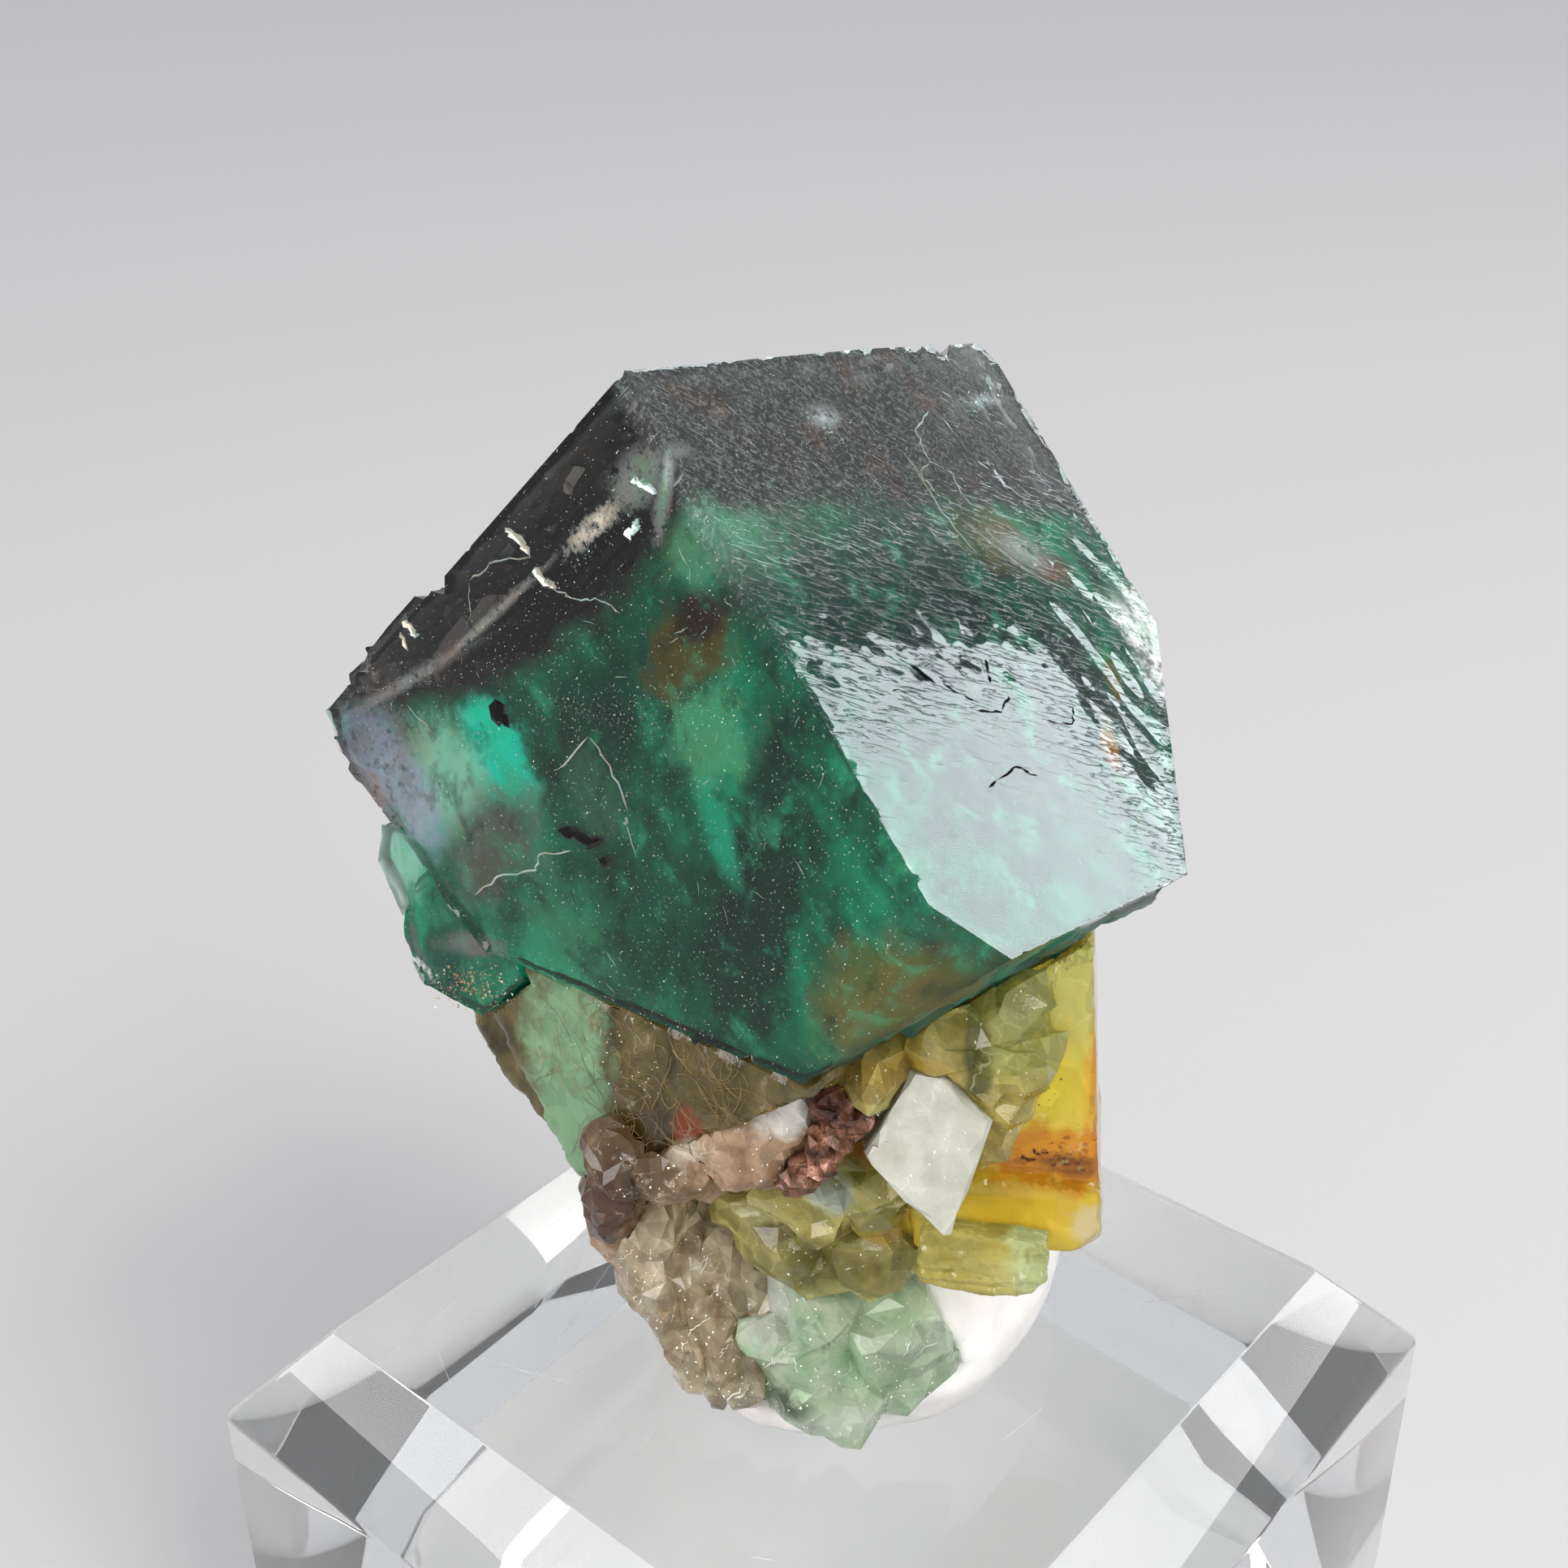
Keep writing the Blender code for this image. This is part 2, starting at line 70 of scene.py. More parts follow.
class Paint:
    """A material, built one node at a time."""

    def __init__(self, name, **values):
        self.material = bpy.data.materials.new(name)
        self.material.use_nodes = True
        self.tree = self.material.node_tree
        self.shader = self.tree.nodes["Principled BSDF"]
        self.output = self.tree.nodes["Material Output"]
        self.set(**values)

    def set(self, **values):
        """Sets inputs of the shader, named as in Blender but small and with underscores."""
        for name, value in values.items():
            title = name.replace("_", " ").title().replace("Ior", "IOR")
            self.plug(self.shader.inputs[title], value)

    def plug(self, socket, value):
        """Links an output to a socket, or sets a plain value on it. A colour may leave out its alpha."""
        if isinstance(value, bpy.types.NodeSocket):
            self.tree.links.new(value, socket)
            return
        rgba = hasattr(socket.default_value, "__len__") and len(socket.default_value) == 4
        socket.default_value = (*value, 1) if rgba and len(value) == 3 else value

    def node(self, kind, plugs=None, **settings):
        """Adds a node with its settings, and what goes into its inputs."""
        node = self.tree.nodes.new(kind)
        for name, value in settings.items():
            setattr(node, name, value)
        for name, value in (plugs or {}).items():
            self.plug(node.inputs[name], value)
        return node

    def place(self, turn, corner=(0, 0, 0)):
        """Object coordinates in millimetres, in a turned and moved frame."""
        here = self.node("ShaderNodeTexCoord").outputs["Object"]
        plugs = {"Vector": here, "Location": Vector(corner) * MM, "Rotation": turn, "Scale": (MM,) * 3}
        return self.node("ShaderNodeMapping", plugs, vector_type="TEXTURE").outputs[0]

    def cube_place(self):
        return self.place(CUBE_TURN, CUBE_CORNER)

    def front_place(self):
        return self.place(FRONT_TURN)

    def stretched(self, where, scale=(1, 1, 1), turn=(0, 0, 0), centre=(0, 0, 0)):
        """Coordinates measured from a centre, turned, and divided by a size along each axis."""
        turn = [math.radians(a) for a in turn]
        plugs = {"Vector": where, "Location": centre, "Rotation": turn, "Scale": scale}
        return self.node("ShaderNodeMapping", plugs, vector_type="TEXTURE").outputs[0]

    def noise(self, where, scale, detail=3.0, rough=0.55, bend=0.0):
        plugs = {"Vector": where, "Scale": scale, "Detail": detail, "Roughness": rough, "Distortion": bend}
        return self.node("ShaderNodeTexNoise", plugs).outputs["Fac"]

    def cells(self, where, scale, feature="F1", out="Distance"):
        plugs = {"Vector": where, "Scale": scale}
        return self.node("ShaderNodeTexVoronoi", plugs, feature=feature).outputs[out]

    def maths(self, operation, first, second=0.0):
        node = self.node("ShaderNodeMath", operation=operation)
        self.plug(node.inputs[0], first)
        self.plug(node.inputs[1], second)
        return node.outputs[0]

    def times(self, first, second):
        return self.maths("MULTIPLY", first, second)

    def plus(self, first, second):
        return self.maths("ADD", first, second)

    def less(self, first, second):
        return self.maths("SUBTRACT", first, second)

    def most(self, first, second):
        return self.maths("MAXIMUM", first, second)

    def axes(self, where):
        return self.node("ShaderNodeSeparateXYZ", {"Vector": where}).outputs

    def ragged(self, value, reach):
        """A noise value spread about 0, to break the edges of spots with."""
        return self.times(self.less(value, 0.5), reach)

    def band(self, value, low, high, to_low=0.0, to_high=1.0):
        """A smooth step of a value between two limits."""
        plugs = {"Value": value, "From Min": low, "From Max": high, "To Min": to_low, "To Max": to_high}
        return self.node("ShaderNodeMapRange", plugs, interpolation_type="SMOOTHSTEP").outputs["Result"]

    def mix(self, share, first, second):
        node = self.node("ShaderNodeMix", data_type="RGBA")
        self.plug(node.inputs["Factor"], share)
        self.plug(node.inputs[6], first)
        self.plug(node.inputs[7], second)
        return node.outputs[2]

    def ramp(self, value, *stops):
        """A colour that runs through stops. A stop is (value, colour)."""
        node = self.node("ShaderNodeValToRGB", {"Fac": value})
        points = node.color_ramp.elements
        while len(points) < len(stops):
            points.new(0.5)
        for point, (at, colour) in zip(points, stops):
            point.position = at
            point.color = (*colour, 1)
        return node.outputs["Color"]

    def tinted(self, where, scale, detail, *stops):
        """Colours the piece by a ramp over a noise."""
        self.set(base_color=self.ramp(self.noise(where, scale, detail), *stops))

    def spot(self, where, ragged, centre, radii, soft=0.35, turn=(0, 0, 0)):
        """1 inside a soft ellipsoid, 0 outside, its edge broken by a noise value."""
        away = self.stretched(where, radii, turn, centre)
        length = self.node("ShaderNodeVectorMath", {0: away}, operation="LENGTH").outputs["Value"]
        edge = self.plus(length, ragged)
        return self.band(edge, 1 + soft, 1 - soft)

    def spotted(self, colour, where, ragged, spots):
        """Lays coloured spots over a colour. A spot is (colour, strength, centre, radii, ...)."""
        for tint, strength, *shape in spots:
            share = self.times(self.spot(where, ragged, *shape), strength)
            colour = self.mix(share, colour, tint)
        return colour

    def bump(self, height, distance, normal=None):
        """A normal bent by a height of 0 to 1, over a distance in millimetres."""
        plugs = {"Height": height, "Distance": distance * MM, "Strength": 1.0}
        if normal is not None:
            plugs["Normal"] = normal
        return self.node("ShaderNodeBump", plugs).outputs[0]

    def absorb(self, colour, per_mm):
        """Fills the piece with a plain absorbing volume."""
        volume = self.node("ShaderNodeVolumeAbsorption", {"Color": colour, "Density": per_mm / MM})
        self.tree.links.new(volume.outputs[0], self.output.inputs["Volume"])


def link(name, data):
    """Puts a mesh, a light or a camera in the scene as an object."""
    item = bpy.data.objects.new(name, data)
    bpy.context.scene.collection.objects.link(item)
    return item


def made(name, shape):
    """Puts a finished shape in the scene as an object."""
    mesh = bpy.data.meshes.new(name)
    shape.to_mesh(mesh)
    shape.free()
    return link(name, mesh)


def evaluated(item):
    """Replaces an object's mesh by what its modifiers make of it."""
    graph = bpy.context.evaluated_depsgraph_get()
    mesh = bpy.data.meshes.new_from_object(item.evaluated_get(graph))
    item.modifiers.clear()
    item.data = mesh
    return item


def copy_of_node(node, name):
    """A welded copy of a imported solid, to be dressed."""
    shape = bmesh.new()
    shape.from_mesh(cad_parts[node].data)
    bmesh.ops.remove_doubles(shape, verts=shape.verts, dist=1e-6)
    return made(name, shape)


def remeshed(item, cell, sharp=False):
    """Rebuilds a closed mesh from even faces about one cell wide."""
    modifier = item.modifiers.new("even", "REMESH")
    if sharp:
        longest = max(item.dimensions) / MM
        depth = math.ceil(math.log2(longest / cell))
        modifier.mode = "SHARP"
        modifier.octree_depth = depth
        modifier.scale = min(0.99, longest / cell / 2**depth)
        modifier.use_remove_disconnected = False
    else:
        modifier.mode = "VOXEL"
        modifier.voxel_size = cell * MM
    return evaluated(item)


def rows_of(mesh, what):
    """The points, "co", or the normals, "normal", of a mesh, one in each row."""
    flat = np.empty(len(mesh.vertices) * 3)
    mesh.vertices.foreach_get(what, flat)
    return flat.reshape(-1, 3)


def moved(rows, matrix):
    """Rows of places, carried over by a matrix."""
    matrix = np.array(matrix)
    return rows @ matrix[:3, :3].T + matrix[:3, 3]


def push(item, depth_at, frame_matrix):
    """Moves each point along its normal by depth_at(place in a frame), in millimetres."""
    mesh = item.data
    points, normals = rows_of(mesh, "co") / MM, rows_of(mesh, "normal")
    into = frame_matrix.inverted()
    local = moved(points, into)
    turned = normals @ np.array(into)[:3, :3].T
    for index, (place, way) in enumerate(zip(local, turned)):
        points[index] += normals[index] * depth_at(Vector(place), Vector(way))
    mesh.vertices.foreach_set("co", (points * MM).ravel())
    mesh.update()


def finish(item, paint, slot, *nodes):
    """Gives a piece its material and body, and hides the solids it stands for. The slot is not used."""
    item.data.materials.clear()
    item.data.materials.append(paint.material)
    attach(item, BODY)
    if nodes:
        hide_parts(*nodes)


def shade(item, degrees):
    """Smooth shading, with every edge over an angle left sharp."""
    item.data.shade_smooth()
    item.data.set_sharp_from_angle(angle=math.radians(degrees))


def tone(red, green, blue):
    """A colour given as a screen shows it, 0 to 255."""
    return tuple((value / 255 / 12.92) if value <= 10 else ((value / 255 + 0.055) / 1.055) ** 2.4
                 for value in (red, green, blue))


def cleaved(place, scale, shift=0.0):
    """Height of a surface broken along cleavage planes: each cell is one tilted flat."""
    spot = place * scale + Vector((shift, shift, shift))
    site = noise.voronoi(spot)[1][0]
    tilt = noise.cell_vector(site * 7.3) - Vector((0.5, 0.5, 0.5))
    return 2 * (spot - site).dot(tilt) / scale


def step(value, low, high):
    """0 below low, 1 above high, smooth between."""
    share = min(1.0, max(0.0, (value - low) / (high - low)))
    return share * share * (3 - 2 * share)


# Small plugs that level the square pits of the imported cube: centre and size, in its frame.
PLUGS = (
    ((14.1, 0.5, 5.4), (1.4, 1.0, 1.4)),
    ((14.9, 0.5, 9.6), (1.8, 1.0, 2.2)),
    ((9.5, 0.5, 15.4), (1.8, 1.0, 1.4)),
)


def plugged(item):
    """Fills the cube's square pits."""
    for centre, size in PLUGS:
        shape = bmesh.new()
        bmesh.ops.create_cube(shape, size=1.0)
        place = CUBE @ Matrix.LocRotScale(centre, None, size)
        bmesh.ops.transform(shape, matrix=Matrix.Scale(MM, 4) @ place, verts=shape.verts)
        plug = made("plug", shape)
        union = item.modifiers.new("plug", "BOOLEAN")
        union.operation = "UNION"
        union.object = plug
        evaluated(item)
        bpy.data.objects.remove(plug)
    return item


# The cube's width along p, and its slanting lower left side: shares of q and of e, and a distance.
CUBE_WIDTH = 17.0
LOWER_SIDE = (0.67, 0.74, 18.66)
# A point is on a front face where its normal has less than this along the face's axis.
FACE_NORMAL = -0.97

# White veils on the two front faces: strength, centre, radii, softness and turn.
VEILS = (
    (0.85, (3.9, 0, 2.5), (1.1, 1, 0.28), 0.5, (0, 4, 0)),
    (0.34, (9.4, 0, 2.1), (2.5, 1, 0.12), 0.95, (0, 3, 0)),
    (0.22, (14.6, 0, 1.4), (3.0, 1, 0.18), 0.95, (0, 12, 0)),
    (0.55, (0.8, 0, 3.2), (1.1, 1, 0.22), 0.9, (0, -38, 0)),
    (0.45, (1.5, 0, 2.5), (0.9, 1, 0.5), 0.9),
    (0.24, (17.2, 0, 3.2), (1.5, 1, 1.8), 0.9),
    (0.50, (0, 6.8, 2.2), (1, 0.7, 0.40), 0.8),
    (0.50, (0, 14.9, 2.2), (1, 1.1, 0.24), 0.8),
    (0.40, (0, 12.2, 7.6), (1, 1.2, 0.6), 0.8, (25, 0, 0)),
)


def past_lower_side(q, e):
    """How far a place lies past the cube's slanting lower left side."""
    share_q, share_e, distance = LOWER_SIDE
    return share_q * q + share_e * e - distance


def crystal_relief(place, way):
    """Chipped edges, cleavage steps on the hidden sides and the lobes, and a ribbed right rim."""
    q, p, e = place
    rough = noise.turbulence(place * 1.3, 3, False)
    sides = sorted((abs(q), abs(p), abs(e), abs(CUBE_WIDTH - p), abs(past_lower_side(q, e))))
    chip = max(0.0, 0.5 - sides[1]) * max(0.0, rough - 0.35)
    on_a, on_b = way.y < FACE_NORMAL, way.x < FACE_NORMAL
    hidden = 0.0 if on_a or on_b else step(min(q, p), 0.4, 1.6)
    lobes = step(q, 13.0, 16.0) * (0.2 if on_a else 0.7)
    rim = step(p, 9.5, 13.5) if on_b else 0.0
    flats = cleaved(place, 0.6) + 0.35 * cleaved(place, 1.9, 5.0)
    streaks = noise.noise(Vector((p * 1.4 - e * 0.5, e * 0.35 + p * 0.7, 0)))
    return -0.6 * chip - 0.06 + 0.16 * max(hidden, lobes) * flats + rim * (0.06 * streaks - 0.03)


def crystal_normal(paint, where, p, e, on_b):
    """Fine slits across the right face, thickest at mid height and by the rim, on a slow swell."""
    slits = paint.noise(paint.stretched(where, (1.0, 0.8, 0.13), (27, 0, 0)), 1.0, 2, 0.6)
    middle = paint.times(paint.band(e, 5.5, 8.0), paint.band(e, 12.5, 9.0))
    by_rim = paint.times(paint.band(p, 8.0, 12.0, 0.0, 0.8), paint.band(e, 4.5, 8.0))
    busy = paint.plus(paint.most(middle, by_rim), 0.04)
    busy = paint.times(busy, on_b)
    height = paint.times(paint.band(slits, 0.52, 0.62), busy)
    swell = paint.times(paint.noise(where, 0.9, 1), on_b)
    return paint.bump(height, 0.024, paint.bump(swell, 0.02))


def crystal_haze(paint, where, e, on_b):
    """Crossed strands and fine speckle in the upper part of the right face."""
    strands = paint.noise(paint.stretched(where, (1.0, 0.9, 0.035), (38, 0, 0)), 1.0, 1, 0.5)
    crossed = paint.noise(paint.stretched(where, (1.0, 0.7, 0.035), (75, 0, 0)), 1.0, 1, 0.5)
    strands = paint.most(paint.band(strands, 0.60, 0.74), paint.band(crossed, 0.65, 0.76))
    speckle = paint.band(paint.noise(where, 9, 2, 0.6), 0.46, 0.70)
    marks = paint.most(paint.times(strands, 0.2), paint.times(speckle, 0.13))
    high = paint.times(paint.band(e, 9.0, 4.0), on_b)
    return paint.times(paint.plus(marks, 0.03), high)


def crystal_rim(paint, p, e, on_b, crumbs):
    """The frosted, crumbling right rim."""
    edge = paint.plus(p, paint.times(crumbs, 1.5))
    rim = paint.times(paint.band(edge, 15.2, 16.4), on_b)
    rim = paint.times(rim, paint.band(e, 9.0, 11.0))
    return paint.times(rim, paint.band(crumbs, 0.35, 0.6, 0.2, 0.9))


def crystal_veil(paint, where, crumbs):
    """The white veils, torn by the crumbs."""
    ragged = paint.ragged(crumbs, 4.0)
    veil = 0.0
    for strength, *shape in VEILS:
        share = paint.times(paint.spot(where, ragged, *shape), strength)
        veil = paint.most(share, veil)
    return paint.times(veil, paint.band(crumbs, 0.30, 0.62))


def build_crystal():
    """The clear, smoky crystal, polished on its two front faces and rough elsewhere."""
    item = remeshed(plugged(copy_of_node("green_fluorite", "green_crystal")), 0.2, sharp=True)
    push(item, crystal_relief, CUBE)
    shade(item, 25)

    paint = Paint("clear_fluorite", ior=FLUORITE_IOR, specular_ior_level=0.12)
    paint.absorb((0.34, 0.27, 0.27), 0.38)
    where = paint.cube_place()
    q, p, e = paint.axes(where)
    on_a, on_b = paint.band(p, 1.0, 0.3), paint.band(q, 1.0, 0.3)
    paint.set(roughness=paint.band(paint.maths("MINIMUM", q, p), 0.3, 1.2, 0.02, 0.45))
    paint.set(normal=crystal_normal(paint, where, p, e, on_b))

    crumbs = paint.noise(where, 2.6, 4, 0.7)
    dots = paint.times(paint.band(paint.noise(where, 13, 2), 0.70, 0.74, 0.0, 0.75), on_a)
    veil = crystal_veil(paint, where, crumbs)
    frost = paint.most(crystal_haze(paint, where, e, on_b), dots)
    frost = paint.most(frost, crystal_rim(paint, p, e, on_b, crumbs))
    frost = paint.most(frost, veil)
    paint.set(transmission_weight=paint.less(1.0, frost))

    smear = paint.mix(paint.band(q, 2.6, 1.4), tone(205, 194, 178), tone(150, 186, 160))
    smear = paint.mix(paint.band(q, 13.0, 15.5), smear, tone(186, 198, 214))
    smear = paint.mix(on_b, smear, tone(214, 230, 230))
    tint = paint.times(paint.noise(where, 0.55, 2, 0.6), paint.band(on_a, 0.0, 1.0, 0.9, 1.0))
    cool, plain, warm = tone(222, 246, 232), tone(238, 244, 244), tone(246, 228, 212)
    glass = paint.ramp(tint, (0.35, cool), (0.5, plain), (0.65, warm))
    paint.set(base_color=paint.mix(paint.band(veil, 0.0, 0.3), glass, smear))
    finish(item, paint, "green_fluorite", "green_fluorite")


# The depth where the green zone begins. It is ZONE_TOP at ZONE_MIDDLE along q, less to both sides
# by ZONE_BOW times the way squared, and more by ZONE_DIP times p squared and, past the first
# ZONE_EDGE of p, by ZONE_LIP.
ZONE_TOP = 3.6
ZONE_MIDDLE = 5
ZONE_BOW = 0.025
ZONE_DIP = 0.008
ZONE_EDGE = 1.5
ZONE_LIP = 0.9

# Colour patches of the zone: colour, strength, centre, radii, softness and turn.
CORE_SPOTS = (
    (tone(0, 50, 38), 0.92, (5.6, 1.0, 13.9), (5.0, 4, 1.7), 0.3, (0, -38, 0)),
    (tone(0, 62, 47), 0.8, (9.5, 1.0, 12.3), (3.4, 4, 2.4), 0.5),
    (tone(0, 64, 50), 0.75, (8.0, 1.0, 6.6), (1.8, 4, 1.5), 0.5),
    (tone(0, 250, 212), 0.97, (12.3, 1.0, 5.3), (1.5, 3, 1.8), 0.25),
    (tone(175, 245, 215), 0.9, (14.9, 1.0, 4.7), (1.7, 3, 1.9), 0.5),
    (tone(190, 205, 235), 0.8, (16.8, 1.0, 4.6), (1.0, 3, 1.6), 0.4),
    (tone(115, 125, 165), 0.85, (18.0, 1.0, 2.2), (2.2, 3, 2.2), 0.5),
    (tone(104, 88, 26), 0.92, (3.2, 1.0, 6.9), (1.9, 3, 1.2), 0.35),
    (tone(48, 24, 10), 0.92, (2.3, 1.0, 6.4), (1.0, 3, 0.75), 0.4),
    (tone(95, 205, 150), 0.85, (3.9, 1.0, 9.3), (1.6, 3, 1.3), 0.35),
    (tone(20, 205, 160), 0.8, (5.6, 1.0, 11.7), (0.5, 3, 1.4), 0.4, (0, 20, 0)),
    (tone(112, 112, 96), 0.9, (14.4, 1.0, 7.4), (2.4, 3, 1.5), 0.5),
    (tone(72, 124, 94), 0.7, (9.4, 1.0, 8.2), (1.0, 3, 1.3), 0.4),
    (tone(110, 195, 150), 0.8, (1.0, 1.0, 5.0), (1.4, 3, 1.2), 0.5, (0, 40, 0)),
    (tone(10, 84, 70), 0.9, (19.6, 1.0, 9.0), (1.3, 3, 1.2), 0.4),
    (tone(158, 156, 156), 0.85, (18.0, 1.0, 9.3), (1.7, 3, 0.4), 0.5, (0, 25, 0)),
    (tone(190, 255, 235), 0.95, (19.8, 1.0, 5.2), (1.3, 3, 1.2), 0.5),
    (tone(176, 98, 30), 0.9, (18.9, 1.0, 3.1), (0.7, 3, 0.6), 0.4),
    (tone(135, 118, 45), 0.85, (3.2, 1.0, 17.9), (2.3, 3, 1.5), 0.6),
    (tone(70, 175, 125), 0.6, (13.5, 1.0, 11.5), (1.8, 3, 2.0), 0.6),
    (tone(0, 60, 52), 0.9, (0.7, 6.5, 8.0), (1.0, 6.0, 3.6), 0.5),
    (tone(0, 44, 38), 0.9, (0.7, 7.5, 14.0), (1.0, 8.0, 4.5), 0.5),
    (tone(134, 122, 50), 0.85, (0.7, 11.6, 6.9), (1.0, 1.7, 1.0), 0.8, (20, 0, 0)),
    (tone(140, 74, 34), 0.8, (0.7, 13.4, 8.3), (1.0, 0.9, 0.6), 0.7, (20, 0, 0)),
    (tone(120, 105, 30), 0.9, (0.7, 13.2, 12.2), (1.0, 0.4, 0.9), 0.3, (35, 0, 0)),
    (tone(190, 130, 30), 0.9, (0.7, 10.8, 14.4), (1.0, 0.4, 1.0), 0.3, (35, 0, 0)),
)


def zone_top(q, p):
    """How far down the front edge the green zone begins."""
    bow = ZONE_BOW * (q - ZONE_MIDDLE) ** 2
    return ZONE_TOP - bow + ZONE_LIP * step(p, 0, ZONE_EDGE) + ZONE_DIP * p * p


def zone_share(paint, where, ragged):
    """0 above the zone's top and 1 well below it: zone_top as nodes, with a ragged edge."""
    q, p, e = paint.axes(where)
    bow = paint.maths("POWER", paint.maths("ABSOLUTE", paint.less(q, ZONE_MIDDLE)), 2.0)
    dip = paint.times(paint.maths("POWER", p, 2.0), ZONE_DIP)
    dip = paint.plus(dip, paint.band(p, 0.0, ZONE_EDGE, 0.0, ZONE_LIP))
    top = paint.plus(paint.times(bow, -ZONE_BOW), paint.plus(dip, ZONE_TOP))
    below = paint.plus(paint.less(e, top), paint.times(ragged, 0.6))
    return paint.band(below, 0.0, 1.3)


def core_relief(place, way):
    """Sinks the zone's surface under the crystal's, less so on and near its lower sides."""
    shallow = max(step(way.z, 0.0, 0.6), step(place.z, 12.0, 16.0))
    return -0.42 + 0.28 * shallow + 0.04 * noise.fractal(place * 0.5, 0.7, 2.1, 3)


def build_core():
    """The green colour zone inside the clear crystal."""
    item = remeshed(copy_of_node("green_fluorite", "green_core"), 0.3)
    push(item, core_relief, CUBE)
    mesh = item.data
    local = moved(rows_of(mesh, "co") / MM, CUBE.inverted())
    for point in local:
        q, p, e = point
        waves = 0.3 * noise.noise(Vector((q, p, 0)) * 0.6)
        point[2] = max(e, zone_top(max(q, 0.0), max(p, 0.0)) + waves)
    mesh.vertices.foreach_set("co", (moved(local, CUBE) * MM).ravel())
    remeshed(item, 0.25)
    shade(item, 60)

    paint = Paint("green_zone", roughness=0.5, ior=1.0, specular_ior_level=0.0)
    where = paint.cube_place()
    ragged = paint.ragged(paint.noise(where, 0.9, 4, 0.6), 1.6)
    cloud = paint.noise(where, 0.24, 4, 0.5, 0.6)
    dark, middle, light = tone(0, 62, 46), tone(0, 116, 86), tone(15, 185, 142)
    base = paint.ramp(cloud, (0.3, dark), (0.48, middle), (0.70, light))
    painted = paint.spotted(base, where, ragged, CORE_SPOTS)
    wisps = paint.noise(where, 0.7, 5, 0.62, 0.3)
    painted = paint.mix(paint.band(wisps, 0.52, 0.76, 0.0, 0.6), painted, tone(60, 215, 165))
    painted = paint.mix(paint.band(wisps, 0.50, 0.30, 0.0, 0.65), painted, tone(0, 50, 38))
    dust = paint.band(paint.noise(where, 9.0, 2, 0.6), 0.66, 0.74, 0.0, 0.6)
    painted = paint.mix(dust, painted, tone(170, 235, 205))
    inside = zone_share(paint, where, ragged)
    paint.set(base_color=paint.mix(inside, tone(58, 54, 50), painted))
    paint.set(transmission_weight=paint.band(inside, 0.0, 1.0, 0.6, 0.12))
    paint.absorb((0.02, 0.66, 0.48), 0.30)
    finish(item, paint, "green_fluorite")


class Slivers:
    """Many small closed bodies in one mesh: threads, flecks and lumps, placed in millimetres."""

    def __init__(self, seed):
        self.random = random.Random(seed)
        self.points = []
        self.faces = []

    def thread(self, line, width):
        """A three-sided thread along a line, drawn out to a point at both ends."""
        line = [Vector(point) for point in line]
        start = len(self.points)
        self.points.append(line[0])
        for before, here, after in zip(line, line[1:], line[2:]):
            way = (after - before).normalized()
            side = way.orthogonal().normalized()
            swell = width / 2 * self.random.uniform(0.7, 1.2)
            for turn in range(3):
                self.points.append(here + Matrix.Rotation(turn * math.tau / 3, 3, way) @ side * swell)
        self.points.append(line[-1])
        last = len(self.points) - 1
        for turn in range(3):
            beside = (turn + 1) % 3
            self.faces.append((start, start + 1 + beside, start + 1 + turn))
            for ring in range(start + 1, last - 3, 3):
                self.faces.append((ring + turn, ring + beside, ring + 3 + beside, ring + 3 + turn))
            self.faces.append((last - 3 + turn, last - 3 + beside, last))

    def fleck(self, place, size):
        """A thin chip, four-sided, turned at random."""
        start = len(self.points)
        turn = Euler([self.random.uniform(0, math.tau) for _ in range(3)]).to_matrix()
        corners = ((-1, -0.6, 0), (1, -0.4, 0.1), (0.1, 0.9, 0), (0, 0, 0.25))
        for corner in corners:
            self.points.append(Vector(place) + turn @ Vector(corner) * size / 2)
        for face in ((0, 2, 1), (0, 1, 3), (1, 2, 3), (2, 0, 3)):
            self.faces.append(tuple(start + index for index in face))

    def cloud(self, line, spread, count, size):
        """Flecks scattered about a line that runs under a face."""
        line = [Vector(point) for point in line]
        for _ in range(count):
            share = self.random.uniform(0, len(line) - 1.001)
            along = line[int(share)].lerp(line[int(share) + 1], share % 1)
            off = Vector([self.random.gauss(0, reach) for reach in spread])
            place = along + off
            self.fleck(place, size * self.random.uniform(0.4, 1.5))

    def lump(self, place, radii, rough=0.35, turn=(0, 0, 0)):
        """A small, angular broken lump."""
        shape = bmesh.new()
        bmesh.ops.create_icosphere(shape, subdivisions=1, radius=1.0)
        turn = Euler([math.radians(a) for a in turn]).to_matrix()
        start = len(self.points)
        for vert in shape.verts:
            swell = 1 + rough * noise.noise(vert.co * 1.7 + Vector(place))
            self.points.append(Vector(place) + turn @ (Vector(radii) * (vert.co * swell)))
        self.faces += [tuple(start + vert.index for vert in face.verts) for face in shape.faces]
        shape.free()

    def hair(self, under, start, way, reach, deepest):
        """A fine crack that runs a little way under a face."""
        end = (start[0] + reach * math.cos(way), start[1] + reach * math.sin(way))
        line = under(start, end, depth=self.random.uniform(0.1, deepest))
        self.thread(jagged(line, self.random, 0.03, 3), 0.025)

    def item(self, name, frame_matrix):
        """Makes the group one piece, placed in a frame."""
        mesh = bpy.data.meshes.new(name)
        mesh.from_pydata([frame_matrix @ point * MM for point in self.points], [], self.faces)
        return link(name, mesh)


def under_a(*line, depth=0.3):
    """A line of (q, e) places, a little under the left face."""
    return [(q, depth, e) for q, e in line]


def under_b(*line, depth=0.3):
    """A line of (p, e) places, a little under the right face."""
    return [(depth, p, e) for p, e in line]


